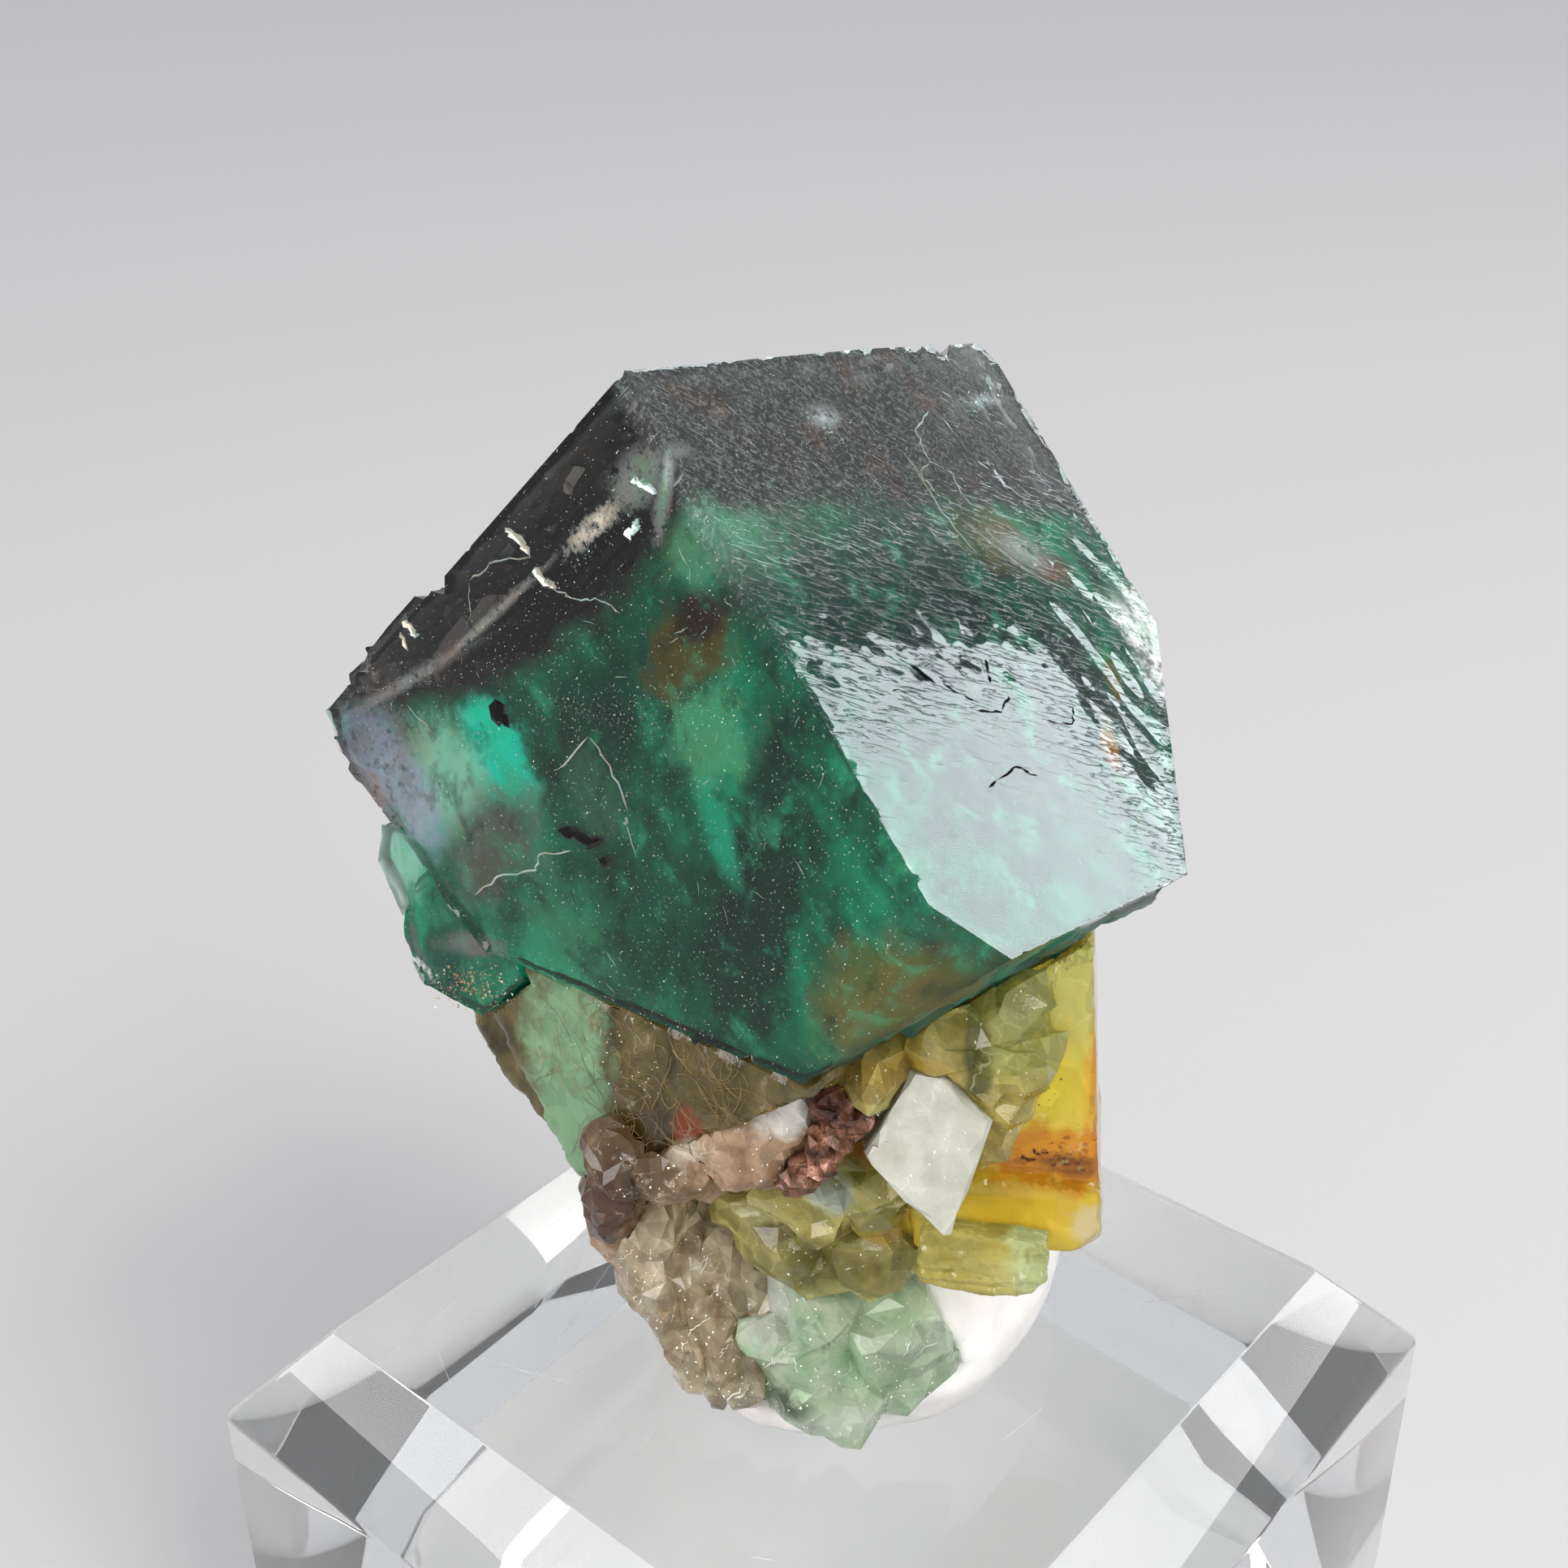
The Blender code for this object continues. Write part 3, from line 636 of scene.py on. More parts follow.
def jagged(line, rng, reach, parts=5):
    """A line broken into short, slightly strayed runs."""
    line = [Vector(point) for point in line]
    points = [line[0]]
    for start, end in zip(line, line[1:]):
        for part in range(1, parts + 1):
            stray = Vector([rng.uniform(-reach, reach) for _ in range(3)]) if part < parts else Vector()
            points.append(start.lerp(end, part / parts) + stray)
    return points


def build_pale_inclusions():
    """Cracks, healed veils and dust under the two front faces of the cube."""
    group = Slivers(11)
    rng = group.random
    cracks = (
        (0.28, under_a((7.05, 0.45), (6.85, 0.9), (6.7, 1.7), depth=0.12)),
        (0.30, under_a((6.75, 2.0), (6.7, 2.6), (6.35, 3.0), depth=0.12)),
        (0.06, under_a((6.6, 2.9), (6.1, 3.5), (5.3, 4.0), (4.7, 4.9))),
        (0.08, under_a((6.7, 1.7), (8.2, 0.9), (9.6, 0.7))),
        (0.05, under_a((9.6, 0.7), (10.4, 1.6))),
        (0.07, under_a((10.1, 7.0), (8.25, 6.9))),
        (0.08, under_a((8.25, 6.9), (8.05, 8.0), (8.3, 9.4))),
        (0.12, under_a((8.5, 9.5), (8.7, 9.65))),
        (0.06, under_a((8.6, 9.6), (8.9, 10.6))),
        (0.07, under_a((16.3, 8.2), (14.6, 8.3), (13.1, 8.9), (12.6, 8.6), (11.2, 9.2))),
        (0.26, under_a((12.95, 0.0), (12.85, 0.4), (12.8, 0.7), depth=0.12)),
        (0.16, under_a((13.4, 0.1), (13.5, 0.8), depth=0.12)),
        (0.05, under_a((14.9, 1.9), (14.3, 3.5))),
        (0.26, under_a((1.75, 2.4), (1.5, 2.8), (1.25, 3.2), depth=0.12)),
        (0.30, under_a((2.9, 3.4), (2.6, 3.45), (2.3, 3.3), depth=0.12)),
        (0.07, under_b((11.9, 2.3), (10.6, 3.0), (10.5, 3.6), (10.4, 4.1), (11.2, 4.65), (11.0, 5.4))),
        (0.05, under_b((10.4, 4.1), (9.7, 4.4), (9.9, 5.2))),
        (0.06, under_b((9.45, 3.6), (9.6, 5.8), (10.1, 7.4))),
        (0.08, under_b((10.3, 6.2), (11.9, 8.2), (13.6, 9.4))),
    )
    for width, line in cracks:
        group.thread(jagged(line, rng, 0.06), width)
    for _ in range(70):
        start = (rng.uniform(0.5, 14), rng.uniform(2, 17))
        group.hair(under_a, start, rng.uniform(0, math.pi), rng.uniform(0.1, 0.6), 0.5)
    for _ in range(60):
        start = (rng.uniform(1, 13), rng.uniform(0.5, 6.5))
        group.hair(under_b, start, rng.gauss(0.8, 0.3), rng.uniform(0.2, 0.9), 0.4)
    veil = under_a((3.0, 2.4), (4.3, 2.5), (5.6, 2.5), depth=0.7)
    group.cloud(veil, (0.3, 0.15, 0.22), 160, 0.07)
    group.cloud(under_a((13.0, 1.9), (17.3, 1.0), depth=0.5), (0.5, 0.2, 0.6), 160, 0.06)
    group.cloud(under_a((9.5, 5.2), (6.5, 7.2), (3.5, 8.6), depth=0.14), (0.5, 0.03, 0.35), 420, 0.045)
    group.cloud(under_b((6.3, 1.8), (7.3, 2.7), depth=0.5), (0.15, 0.25, 0.25), 90, 0.09)
    group.cloud(under_b((14.0, 2.4), (15.6, 2.0), depth=0.4), (0.15, 0.3, 0.18), 90, 0.09)
    group.cloud(under_b((2.0, 3.2), (5.5, 3.4), depth=0.9), (0.2, 0.6, 0.5), 100, 0.08)
    group.cloud(under_a((17.4, 11.0), (20.2, 9.7), depth=0.35), (0.5, 0.15, 0.35), 280, 0.09)
    for _ in range(1500):
        place = (rng.uniform(0.3, 16), rng.uniform(0.06, 0.3), rng.uniform(1, 17))
        group.fleck(place, rng.uniform(0.02, 0.075))
    for _ in range(260):
        place = (rng.uniform(0.1, 0.5), rng.uniform(0.3, 14), rng.uniform(0.5, 8))
        group.fleck(place, rng.uniform(0.02, 0.06))
    paint = Paint("pale_inclusion_paint", roughness=0.4, transmission_weight=0.15)
    where = paint.cube_place()
    tint = paint.noise(where, 0.8, 3)
    pale = paint.ramp(tint, (0.38, tone(232, 220, 200)), (0.55, tone(228, 255, 252)))
    gold = ((tone(176, 138, 84), 0.9, (18.9, 0.35, 10.4), (2.4, 1.2, 1.6)),)
    paint.set(base_color=paint.spotted(pale, where, paint.ragged(tint, 1.0), gold))
    finish(group.item("pale_inclusions", CUBE), paint, "green_fluorite")


def build_dark_inclusions():
    """Black pits under the left face, and dark hair lines under the right one."""
    group = Slivers(12)
    group.lump((11.15, 0.10, 4.4), (0.36, 0.1, 0.4), 0.9, (0, 30, 0))
    group.lump((11.0, 0.10, 4.75), (0.2, 0.1, 0.2), 0.9)
    group.lump((10.9, 0.10, 8.7), (0.42, 0.1, 0.24), 0.8, (0, 20, 0))
    group.lump((10.45, 0.10, 9.15), (0.2, 0.1, 0.6), 0.8, (0, -35, 0))
    group.lump((9.95, 0.10, 9.5), (0.46, 0.1, 0.16), 0.9, (0, 10, 0))
    group.lump((10.05, 0.10, 10.1), (0.28, 0.1, 0.28), 0.9)
    group.lump((0.5, 9.5, 13.1), (0.1, 0.22, 0.26), 0.9)
    group.lump((4.9, 0.2, 2.75), (0.16, 0.08, 0.1), 0.8)
    group.lump((4.4, 0.2, 2.9), (0.1, 0.08, 0.14), 0.8)
    for line in (
        ((5.9, 12.0), (6.9, 12.3), (7.6, 11.9)),
        ((5.2, 11.0), (6.3, 11.9)),
        ((7.1, 11.6), (7.6, 10.6)),
        ((4.2, 10.0), (5.0, 11.0)),
        ((4.6, 14.2), (6.2, 13.9), (6.9, 14.4)),
        ((8.6, 12.9), (9.6, 13.3), (10.2, 12.8)),
    ):
        group.thread(jagged(under_b(*line, depth=0.07), group.random, 0.05, 6), 0.09)
    paint = Paint("dark_inclusion_paint", roughness=0.6, specular_ior_level=0.15)
    paint.tinted(paint.cube_place(), 3, 3, (0.62, tone(1, 1, 1)), (0.9, tone(44, 24, 14)))
    finish(group.item("dark_inclusions", CUBE), paint, "green_fluorite")


def build_amber_specks():
    """Dark specks in the orange foot of the amber crystal, and dust in the lumps beside it."""
    group = Slivers(14)
    rng = group.random
    for _ in range(46):
        right = min(7.5, max(5.6, rng.gauss(6.8, 0.6)))
        place = (right, rng.uniform(-7.3, -7.15), rng.gauss(36.9, 0.22))
        group.lump(place, (rng.uniform(0.03, 0.12), 0.05, rng.uniform(0.03, 0.09)), 0.8)
    for _ in range(30):
        group.lump((rng.uniform(5.8, 7.3), -7.1, rng.uniform(36.5, 40)), (0.03, 0.03, 0.03), 0.6)
    paint = Paint("speck_paint", roughness=0.4)
    paint.tinted(paint.front_place(), 2.0, 2, (0.35, tone(34, 18, 8)), (0.7, tone(96, 48, 10)))
    finish(group.item("amber_specks", FRONT), paint, "amber_fluorite")


def build_fibres():
    """Fine curling fibres over the face of the olive crystal."""
    group = Slivers(13)
    rng = group.random
    run = 0.2
    least_past = 0.34
    least_down = 12.5
    for _ in range(170):
        place = Vector((rng.uniform(8, 17), 0.25, rng.uniform(13, 18)))
        way, bend = rng.uniform(0, math.tau), rng.gauss(0, 0.5)
        line = [place.copy()]
        for _ in range(rng.randint(6, 16)):
            way += bend * 0.5 + rng.gauss(0, 0.18)
            place += Vector((math.cos(way), rng.uniform(-0.03, 0.03), math.sin(way))) * run
            place.y = min(0.36, max(0.14, place.y))
            line.append(place.copy())
        if past_lower_side(place.x, place.z) > least_past and line[0].z > least_down:
            group.thread(line, rng.uniform(0.010, 0.02))
    paint = Paint("tan_fibre_paint", roughness=0.5)
    paint.tinted(paint.cube_place(), 1.0, 2, (0.35, tone(84, 64, 36)), (0.7, tone(150, 122, 74)))
    finish(group.item("tan_fibres", CUBE), paint, "olive_fluorite")


def mineral(name, dark, light, spots, grain, fleck, **values):
    """A broken mineral: clouds, spots, a tone of its own on each small flat, veins and grit."""
    paint = Paint(name, **values)
    where = paint.front_place()
    ragged = paint.ragged(paint.noise(where, 1.4, 4), 1.4)
    cloud = paint.noise(where, 0.55 * grain, 4, 0.62, 0.5)
    colour = paint.spotted(paint.ramp(cloud, (0.32, dark), (0.68, light)), where, ragged, spots)
    flats = paint.cells(paint.stretched(where, (1.3, 1.0, 0.7), (20, 35, 10)), 1.5 * grain, out="Color")
    shade_of_flat = paint.node("ShaderNodeSeparateColor", {"Color": flats}).outputs[0]
    lit = paint.band(shade_of_flat, 0.0, 1.0, 1 - fleck, 1 + fleck)
    stray = paint.node("ShaderNodeTexNoise", {"Vector": where, "Scale": 1.5}).outputs["Color"]
    bent = paint.node("ShaderNodeVectorMath", {0: where, 1: stray}, operation="ADD").outputs[0]
    edges = paint.band(paint.cells(bent, 0.9 * grain, "DISTANCE_TO_EDGE"), 0.05, 0.0, 0.0, 0.45)
    veins = paint.times(edges, paint.band(cloud, 0.52, 0.66))
    bright = paint.node("ShaderNodeVectorMath", {0: colour, "Scale": lit}, operation="SCALE").outputs[0]
    pale = tuple(min(1.0, 0.35 + value) for value in light)
    paint.set(base_color=paint.mix(veins, bright, pale))
    paint.set(normal=paint.bump(paint.noise(where, 7 * grain, 2, 0.6), 0.012))
    return paint


def mended(item):
    """Takes out the pairs of faces lying back to back that joining the flats may leave."""
    shape = bmesh.new()
    shape.from_mesh(item.data)
    same = {}
    for face in shape.faces:
        same.setdefault(frozenset(face.verts), []).append(face)
    doubled = [face for faces in same.values() if len(faces) > 1 for face in faces]
    bmesh.ops.delete(shape, geom=doubled, context="FACES")
    shape.to_mesh(item.data)
    shape.free()


def rock(node, name, paint, cell, relief, keep=1.0, degrees=22, slot=None):
    """A dressed solid: even faces, relief, then flats joined until a share of the faces is left.

    The slot, the node's name unless one is given, is handed on to finish, which does not use it.
    """
    item = remeshed(copy_of_node(node, name), cell)
    push(item, relief, FRONT)
    if keep < 1:
        fewer = item.modifiers.new("flats", "DECIMATE")
        fewer.ratio = keep
        mended(evaluated(item))
    shade(item, degrees)
    finish(item, paint, slot or node, node)


def broken(grow, coarse, fine, scale=0.9, stretch=(1, 1, 1)):
    """Relief of a broken lump, grown a little to meet its neighbours."""
    stretch = Vector(stretch)

    def relief(place, way):
        spot = place * stretch * scale
        rough = noise.fractal(spot, 0.8, 2.1, 3)
        crags = noise.ridged_multi_fractal(spot * 1.7, 0.9, 2.2, 3, 1, 2) - 1
        return grow + coarse * rough + fine * crags
    return relief


def build_olive():
    spots = (
        (tone(140, 188, 146), 0.85, (-8.3, -5.6, 38.5), (1.4, 6, 3.8)),
        (tone(56, 38, 22), 0.8, (-5.4, -7.4, 38.0), (1.4, 6, 1.5), 0.7),
        (tone(150, 60, 30), 0.8, (-4.4, -7.9, 38.6), (0.5, 3, 0.9)),
        (tone(225, 215, 195), 0.7, (-3.9, -7.9, 37.9), (0.9, 3, 0.7)),
        (tone(190, 150, 60), 0.7, (-1.2, -7.9, 40.4), (1.6, 3, 0.7)),
    )
    paint = mineral("olive_fluorite_paint", tone(66, 56, 26), tone(128, 112, 64), spots, 1.1, 0.12,
                    roughness=0.15, transmission_weight=0.5, ior=FLUORITE_IOR)
    rock("olive_fluorite", "olive_crystal", paint, 0.16, broken(0.22, 0.10, 0.02))


def build_amber():
    spots = (
        (tone(206, 216, 130), 0.95, (7.0, -6.6, 43.6), (3.0, 6, 3.0)),
        (tone(248, 236, 60), 0.9, (5.9, -6.8, 39.3), (1.3, 6, 1.6), 0.6),
        (tone(240, 166, 20), 0.8, (8.0, -6.6, 39.0), (0.6, 6, 3.0)),
        (tone(222, 128, 6), 0.9, (6.6, -7.3, 37.0), (2.6, 5, 1.0)),
        (tone(120, 58, 6), 0.8, (7.1, -7.3, 36.7), (0.8, 5, 0.35), 0.5),
        (tone(255, 220, 70), 0.95, (5.7, -7.8, 35.2), (1.7, 5, 0.9)),
        (tone(236, 222, 180), 0.9, (7.9, -8.1, 34.9), (0.8, 4, 0.9)),
    )
    paint = mineral("amber_fluorite_paint", tone(236, 205, 50), tone(252, 232, 100), spots, 0.6, 0.08,
                    roughness=0.06, transmission_weight=0.62, ior=FLUORITE_IOR)
    paint.absorb((0.95, 0.76, 0.20), 0.05)
    rock("amber_fluorite", "amber_crystal", paint, 0.15, broken(0.12, 0.04, 0.01, 0.6))


def build_pale():
    paint = mineral("pale_fluorite_paint", tone(186, 186, 172), tone(214, 216, 204), (), 1.2, 0.05,
                    roughness=0.3, transmission_weight=0.3, ior=FLUORITE_IOR)
    rock("pale_fluorite", "pale_crystal", paint, 0.1,
         broken(0.15, 0.07, 0.015, 0.8), 0.025, 12)


def build_striped():
    spots = ((tone(205, 222, 170), 0.85, (5.9, -9.0, 34.6), (0.8, 4, 1.4)),)
    paint = mineral("striped_fluorite_paint", tone(168, 158, 66), tone(226, 218, 140), spots, 0.8, 0.12,
                    roughness=0.1, transmission_weight=0.65, ior=FLUORITE_IOR)

    def relief(place, way):
        line = math.sin(15.0 * (place.z + 0.25 * place.y) + 1.3 * noise.noise(place))
        return 0.12 + 0.05 * line + 0.03 * cleaved(place, 1.2)

    rock("striped_fluorite", "striped_prism", paint, 0.08, relief)


def build_yellow_green():
    spots = (
        (tone(40, 60, 30), 0.85, (4.0, -8.6, 41.5), (0.4, 4, 1.2)),
        (tone(176, 186, 120), 0.7, (5.6, -7.5, 42.6), (1.8, 5, 1.8)),
        (tone(214, 170, 50), 0.75, (1.8, -9.0, 34.2), (1.8, 4, 0.35), 0.5, (0, 12, 0)),
        (tone(96, 74, 36), 0.7, (-1.6, -8.2, 34.4), (1.6, 4, 0.3), 0.5, (0, -18, 0)),
        (tone(205, 112, 30), 0.9, (0.75, -8.6, 37.6), (0.7, 3, 0.45)),
        (tone(205, 165, 60), 0.6, (1.6, -8.7, 41.0), (1.6, 3, 0.7)),
        (tone(120, 105, 55), 0.7, (-0.8, -7.7, 33.1), (2.2, 4, 1.0)),
        (tone(205, 225, 215), 0.8, (-0.3, -7.5, 36.5), (0.7, 3, 0.6)),
    )
    paint = mineral("yellow_green_paint", tone(172, 160, 72), tone(244, 234, 156), spots, 1.0, 0.22,
                    roughness=0.1, transmission_weight=0.65, ior=FLUORITE_IOR)
    rock("yellow_green_fluorite", "yellow_green_mass", paint, 0.15,
         broken(0.28, 0.34, 0.07, 0.7, (0.8, 1.0, 1.3)), 0.05, 14)


def build_quartz():
    paint = mineral("quartz_paint", tone(136, 112, 78), tone(230, 216, 186), (), 1.1, 0.18,
                    roughness=0.12, transmission_weight=0.6, ior=QUARTZ_IOR)
    rock("quartz_mass", "quartz_mass_crust", paint, 0.14,
         broken(0.25, 0.34, 0.08, 0.8, (1.9, 1.0, 0.45)), 0.07, 13, "quartz")


def build_pale_green():
    spots = (
        (tone(60, 75, 60), 0.85, (-1.9, -7.4, 27.8), (1.0, 3, 0.5)),
        (tone(236, 240, 228), 0.85, (-2.4, -7.4, 31.4), (0.9, 4, 1.6), 0.5, (0, -20, 0)),
        (tone(228, 236, 226), 0.7, (-0.6, -7.4, 27.2), (1.8, 4, 0.6)),
    )
    paint = mineral("pale_green_paint", tone(156, 196, 154), tone(228, 244, 216), spots, 1.0, 0.14,
                    roughness=0.1, transmission_weight=0.65, ior=FLUORITE_IOR)
    rock("pale_green_fluorite", "pale_green_mass", paint, 0.14,
         broken(0.28, 0.30, 0.05, 0.6), 0.035, 14)


def build_brown():
    spots = (
        (tone(240, 235, 228), 0.9, (-1.5, -8.4, 39.6), (0.9, 3, 0.6)),
        (tone(78, 58, 36), 0.92, (-6.2, -7.5, 37.4), (2.0, 5, 1.9), 0.5),
        (tone(222, 210, 190), 0.7, (-4.6, -8.2, 38.2), (0.5, 4, 0.5), 0.5),
        (tone(66, 40, 26), 0.92, (-7.2, -7.0, 35.2), (1.2, 4, 2.0)),
    )
    paint = mineral("brown_quartz_paint", tone(122, 94, 68), tone(184, 156, 126), spots, 1.0, 0.15,
                    roughness=0.25, transmission_weight=0.25, ior=QUARTZ_IOR)
    rock("brown_quartz", "brown_lump", paint, 0.12, broken(0.25, 0.22, 0.05, 1.0), 0.10, 14)


def build_pyrite():
    paint = mineral("pyrite_paint", tone(34, 17, 12), tone(132, 88, 68), (), 2.4, 0.45,
                    roughness=0.28, metallic=0.25)
    rock("pyrite_cluster", "pyrite_chain", paint, 0.08,
         broken(0.10, 0.30, 0.10, 1.8), 0.10, 8, "pyrite")


def build_putty():
    paint = Paint("putty_paint", roughness=0.45, specular_ior_level=0.35)
    where = paint.front_place()
    cloud = paint.noise(where, 0.4, 4)
    ragged = paint.ragged(cloud, 1.2)
    white = paint.ramp(cloud, (0.3, tone(232, 229, 225)), (0.7, tone(250, 249, 248)))
    # The tan patch on the putty's left side is painted shade, tinted by the crystals beside it.
    spots = ((tone(196, 176, 160), 0.85, (-5.4, -4.0, 29.0), (2.4, 6, 5.0), 0.6),)
    paint.set(base_color=paint.spotted(white, where, ragged, spots))
    paint.set(normal=paint.bump(paint.noise(where, 3.0, 4), 0.04))

    def relief(place, way):
        return 0.08 + 0.12 * noise.noise(place * 0.45) + 0.03 * noise.noise(place * 1.7)

    rock("mounting_putty", "putty_ball", paint, 0.25, relief, degrees=60, slot="putty")


def build_fractures():
    """White fracture lines and bright grains, laid over the broken pieces as the camera sees them."""
    group = Slivers(15)
    rng = group.random
    graph = bpy.context.evaluated_depsgraph_get()
    look = (FRONT @ Vector((0, 0.88, -0.47))).normalized()
    before = -8
    back_off = 15
    lift = 0.01
    run = 0.13
    longest_gap = 0.4
    for name, lines, grains, (left, right), (low, high), slope in (
        ("quartz_mass_crust", 26, 340, (-7.0, -2.6), (26.5, 34.2), 62),
        ("pale_green_mass", 15, 170, (-2.6, 3.2), (26.5, 32.4), 70),
        ("yellow_green_mass", 12, 220, (-3.0, 6.0), (32.5, 43.5), 12),
        ("brown_lump", 3, 120, (-7.5, -1.0), (36.0, 40.0), 20),
        ("pale_crystal", 2, 50, (1.2, 4.2), (36.0, 41.0), 60),
    ):
        tree = BVHTree.FromObject(bpy.data.objects[name], graph)

        def landed(along, up):
            """The place on the piece that is seen there, or nothing."""
            start = FRONT @ Vector((along, before, up)) - look * back_off
            spot = tree.ray_cast(start * MM, look)[0]
            return spot and FRONT.inverted() @ (spot / MM - look * lift)

        for _ in range(lines):
            along, up = rng.uniform(left, right), rng.uniform(low, high)
            way = math.radians(rng.gauss(slope, 14))
            line = []
            for _ in range(rng.randint(3, 8)):
                spot = landed(along, up)
                if not spot or line and (spot - line[-1]).length > longest_gap:
                    break
                line.append(spot)
                turn = way + rng.choice((0, 0, -0.6, 0.6))
                along += run * math.cos(turn)
                up += run * math.sin(turn)
            if len(line) > 2:
                group.thread(line, rng.uniform(0.012, 0.034))
        for _ in range(grains):
            spot = landed(rng.uniform(left, right), rng.uniform(low, high))
            if spot:
                group.fleck(spot, rng.uniform(0.04, 0.13))
    paint = Paint("fracture_paint", roughness=0.2)
    paint.tinted(paint.front_place(), 0.6, 2, (0.4, tone(226, 220, 200)), (0.6, tone(244, 248, 244)))
    finish(group.item("white_fractures", FRONT), paint, "quartz")


BLOCK_TOP = 24.6
BLOCK_ROUND = 0.25


def build_block():
    """The clear acrylic block, its edges a little rounded."""
    item = copy_of_node("acrylic_block", "clear_block")
    bevel = item.modifiers.new("round", "BEVEL")
    bevel.width = BLOCK_ROUND * MM
    bevel.segments = 3
    bevel.limit_method = "ANGLE"
    bevel.angle_limit = math.radians(20)
    evaluated(item)
    shade(item, 30)
    paint = Paint("acrylic_paint", transmission_weight=0.95, roughness=0.0, ior=ACRYLIC_IOR)
    paint.tinted(paint.front_place(), 0.12, 2, (0.35, (0.94, 0.955, 0.96)), (0.6, (0.985, 0.99, 0.99)))
    finish(item, paint, "acrylic", "acrylic_block")


def build_scratches():
    """Fine scratches that lie on the block's top face, clear of its edges and of the putty."""
    group = Slivers(16)
    rng = group.random
    reach = 11.5
    run = 0.25
    level = BLOCK_TOP + 0.004
    for _ in range(34):
        place = Vector((rng.uniform(-reach, reach), rng.uniform(-reach, reach), level))
        way, bend = rng.uniform(0, math.tau), rng.gauss(0, 0.02)
        line = []
        for _ in range(rng.randint(5, 22)):
            line.append(place.copy())
            way += bend
            place += Vector((math.cos(way), math.sin(way), 0)) * run
        if all(max(abs(point.x), abs(point.y)) < 12 and point.xy.length > 8 for point in line):
            group.thread(line, rng.uniform(0.012, 0.03))
    paint = Paint("scratch_paint", roughness=0.3, transmission_weight=0.4, ior=ACRYLIC_IOR)
    paint.tinted(paint.front_place(), 0.5, 2, (0.4, tone(190, 194, 198)), (0.6, tone(246, 248, 250)))
    finish(group.item("block_scratches", Matrix.Identity(4)), paint, "acrylic")


# The studio is in metres.
SPECIMEN = Vector((0.004, -0.001, 0.048))
UP = Vector((0, 0, 1))
FLOOR_HALF = 2.5
FLOOR_DROP = 0.00002
# The big window that the cube's right face mirrors: the two ends of its near edge, and its size.
WINDOW_TOP = Vector((0.135, 0.411, 0.297))
WINDOW_FOOT = Vector((0.128, 0.465, 0.217))
WINDOW_SIZE = (0.26, 0.50)
# Where the lights stand that the block's two front chamfers mirror, seen from the specimen.
CHAMFER_WAYS = (Vector((-0.575, -0.471, 0.669)), Vector((0.471, 0.669, 0.575)))


def area_light(name, place, size, watts, colour, up=UP):
    """A soft light at a place, facing the specimen, its height along up."""
    data = bpy.data.lights.new(name, "AREA")
    data.shape = "RECTANGLE"
    data.size, data.size_y = size
    data.energy = watts
    data.color = colour
    light = link(name, data)
    back = (place - SPECIMEN).normalized()
    right = up.cross(back).normalized()
    turn = Matrix((right, back.cross(right), back)).transposed().to_4x4()
    light.matrix_world = Matrix.Translation(place) @ turn
    return light


def keep_light_to(light, items):
    """Keeps a light to some of the pieces."""
    lit = bpy.data.collections.new("lit_by_" + light.name)
    for item in items:
        lit.objects.link(item)
    light.light_linking.receiver_collection = lit


def seen_only_in(light, piece):
    """Makes a light show as a reflection in one piece, and nowhere else."""
    for reach in ("camera", "diffuse", "transmission", "volume_scatter"):
        setattr(light, "visible_" + reach, False)
    keep_light_to(light, [bpy.data.objects[piece]])


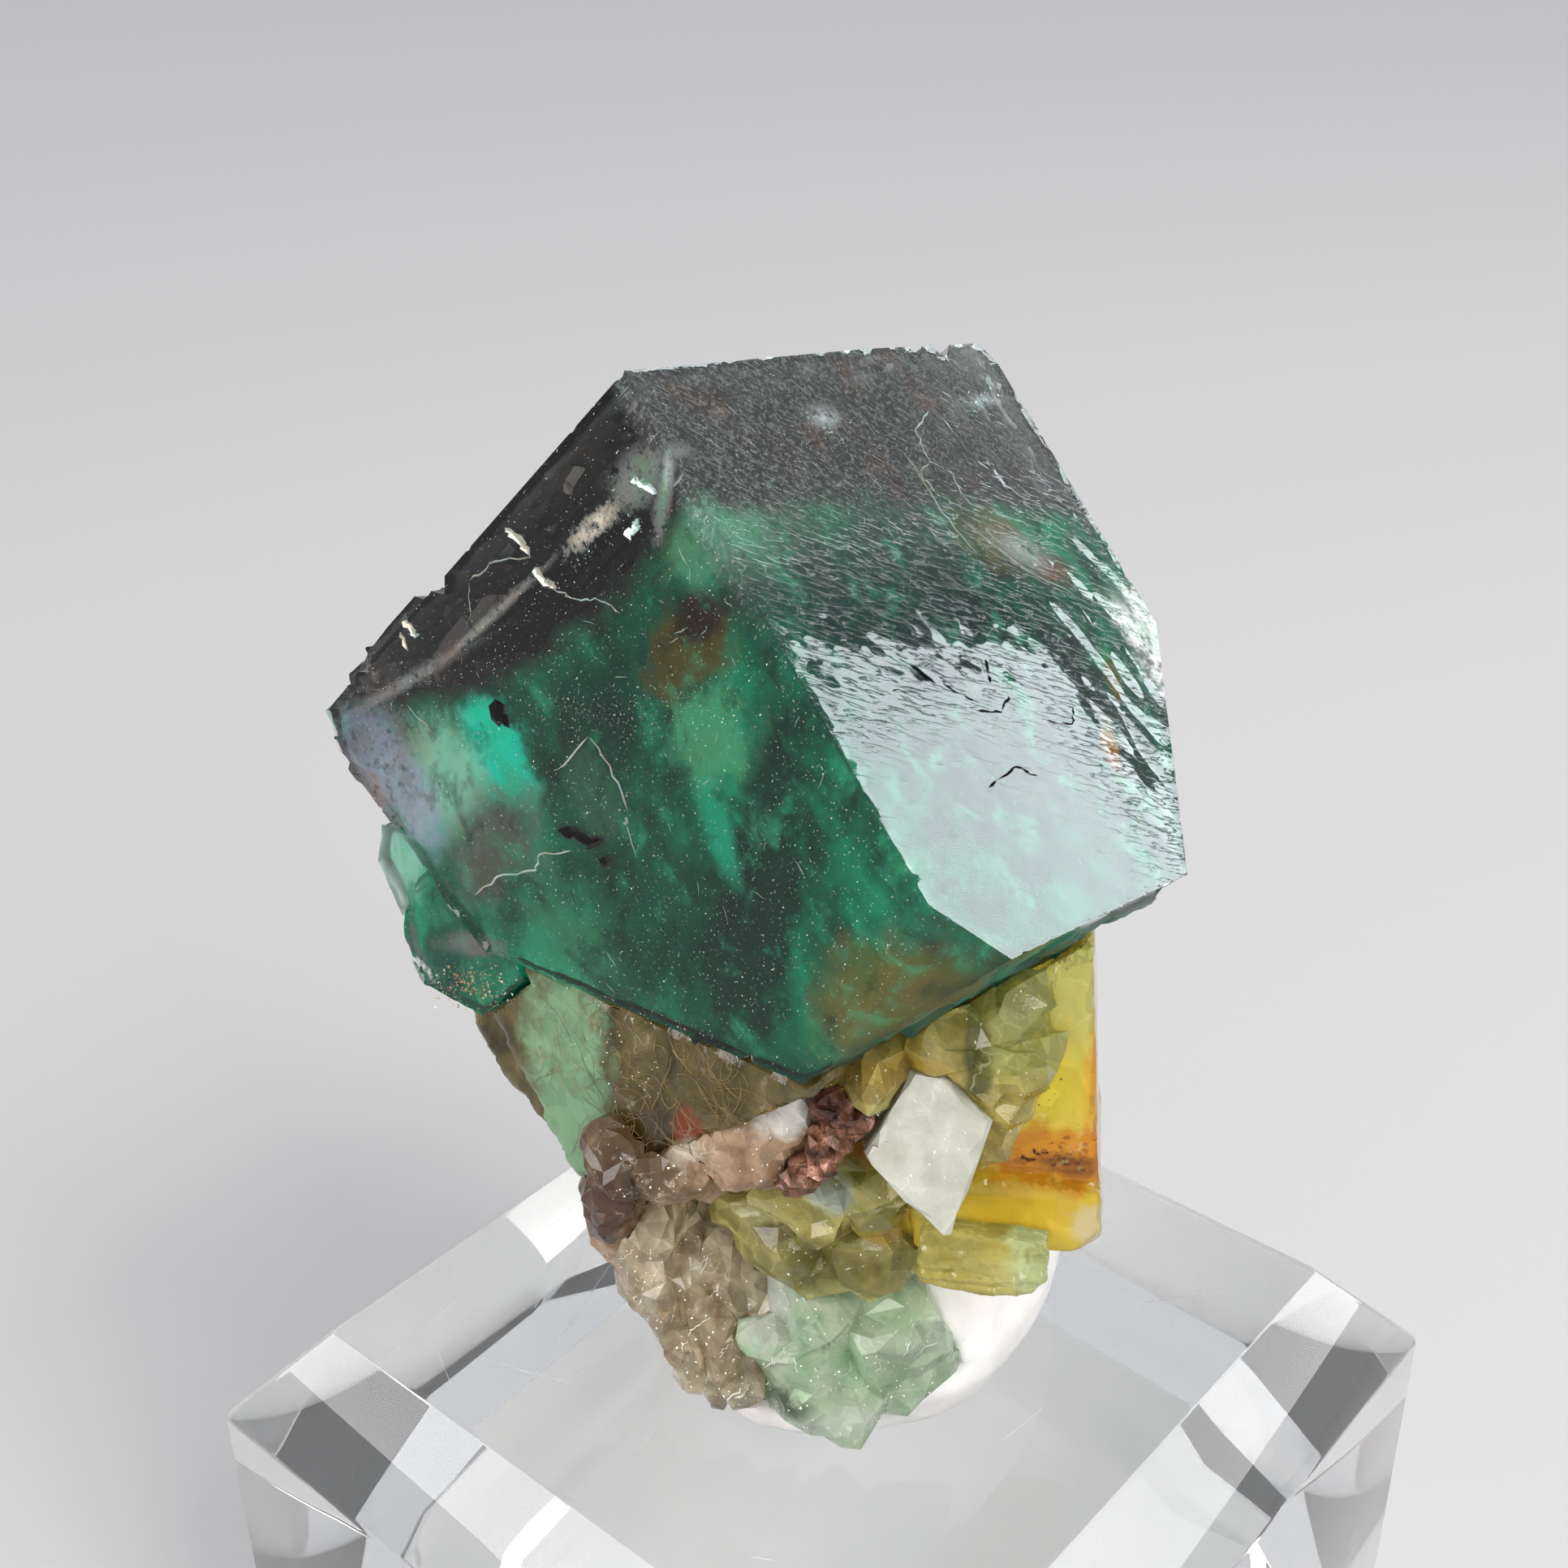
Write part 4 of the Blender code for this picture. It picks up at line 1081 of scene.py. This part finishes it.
def build_floor():
    """The plain pale floor, a hair under the block."""
    shape = bmesh.new()
    bmesh.ops.create_grid(shape, x_segments=4, y_segments=4, size=FLOOR_HALF)
    floor = made("floor", shape)
    floor.location.z = -FLOOR_DROP
    paint = Paint("floor_paint", base_color=(0.80, 0.79, 0.78), roughness=0.6)
    floor.data.materials.append(paint.material)


def build_studio():
    """A pale floor, soft daylight all round, and soft lights to the right and the front."""
    build_floor()
    world = bpy.data.worlds.new("studio")
    bpy.context.scene.world = world
    world.use_nodes = True
    background = world.node_tree.nodes["Background"]
    background.inputs["Color"].default_value = (0.93, 0.95, 1.0, 1)
    background.inputs["Strength"].default_value = 0.62
    area_light("key_light", Vector((0.42, -0.05, 0.42)), (0.30, 0.30), 2.2, (1.0, 0.97, 0.93))
    fill = area_light("fill_light", Vector((-0.12, -0.44, 0.24)), (0.34, 0.34), 2.4, (1.0, 0.98, 0.96))
    meshes = [item for item in bpy.data.objects if item.type == "MESH"]
    keep_light_to(fill, [item for item in meshes if item.name not in ("floor", "clear_block")])
    build_window()
    for name, way in zip(("left", "right"), CHAMFER_WAYS):
        place = SPECIMEN + way * 0.5
        light = area_light(name + "_chamfer_light", place, (0.5, 0.5), 4, (1, 1, 1))
        seen_only_in(light, "clear_block")


def build_window():
    """The window, its near edge where the reflection in the cube ends."""
    near = (WINDOW_TOP + WINDOW_FOOT) / 2
    up = (WINDOW_TOP - WINDOW_FOOT).normalized()
    right = (near - SPECIMEN).cross(up).normalized()
    place = near + right * WINDOW_SIZE[0] / 2
    window = area_light("window_light", place, WINDOW_SIZE, 4.4, (0.84, 0.95, 0.98), up)
    seen_only_in(window, "green_crystal")


def build_camera():
    """A camera where the photograph was taken from."""
    data = bpy.data.cameras.new("camera")
    data.lens = CAMERA_LENS
    data.clip_start = 0.001
    camera = link("camera", data)
    camera.location = CAMERA_PLACE * MM
    camera.rotation_euler = CAMERA_TURN
    bpy.context.scene.camera = camera


bpy.context.scene.view_settings.view_transform = "Standard"
build_camera()
build_block()
build_scratches()
build_putty()
build_quartz()
build_pale_green()
build_yellow_green()
build_striped()
build_brown()
build_pyrite()
build_pale()
build_amber()
build_amber_specks()
build_fractures()
build_olive()
build_fibres()
build_crystal()
build_core()
build_pale_inclusions()
build_dark_inclusions()
build_studio()
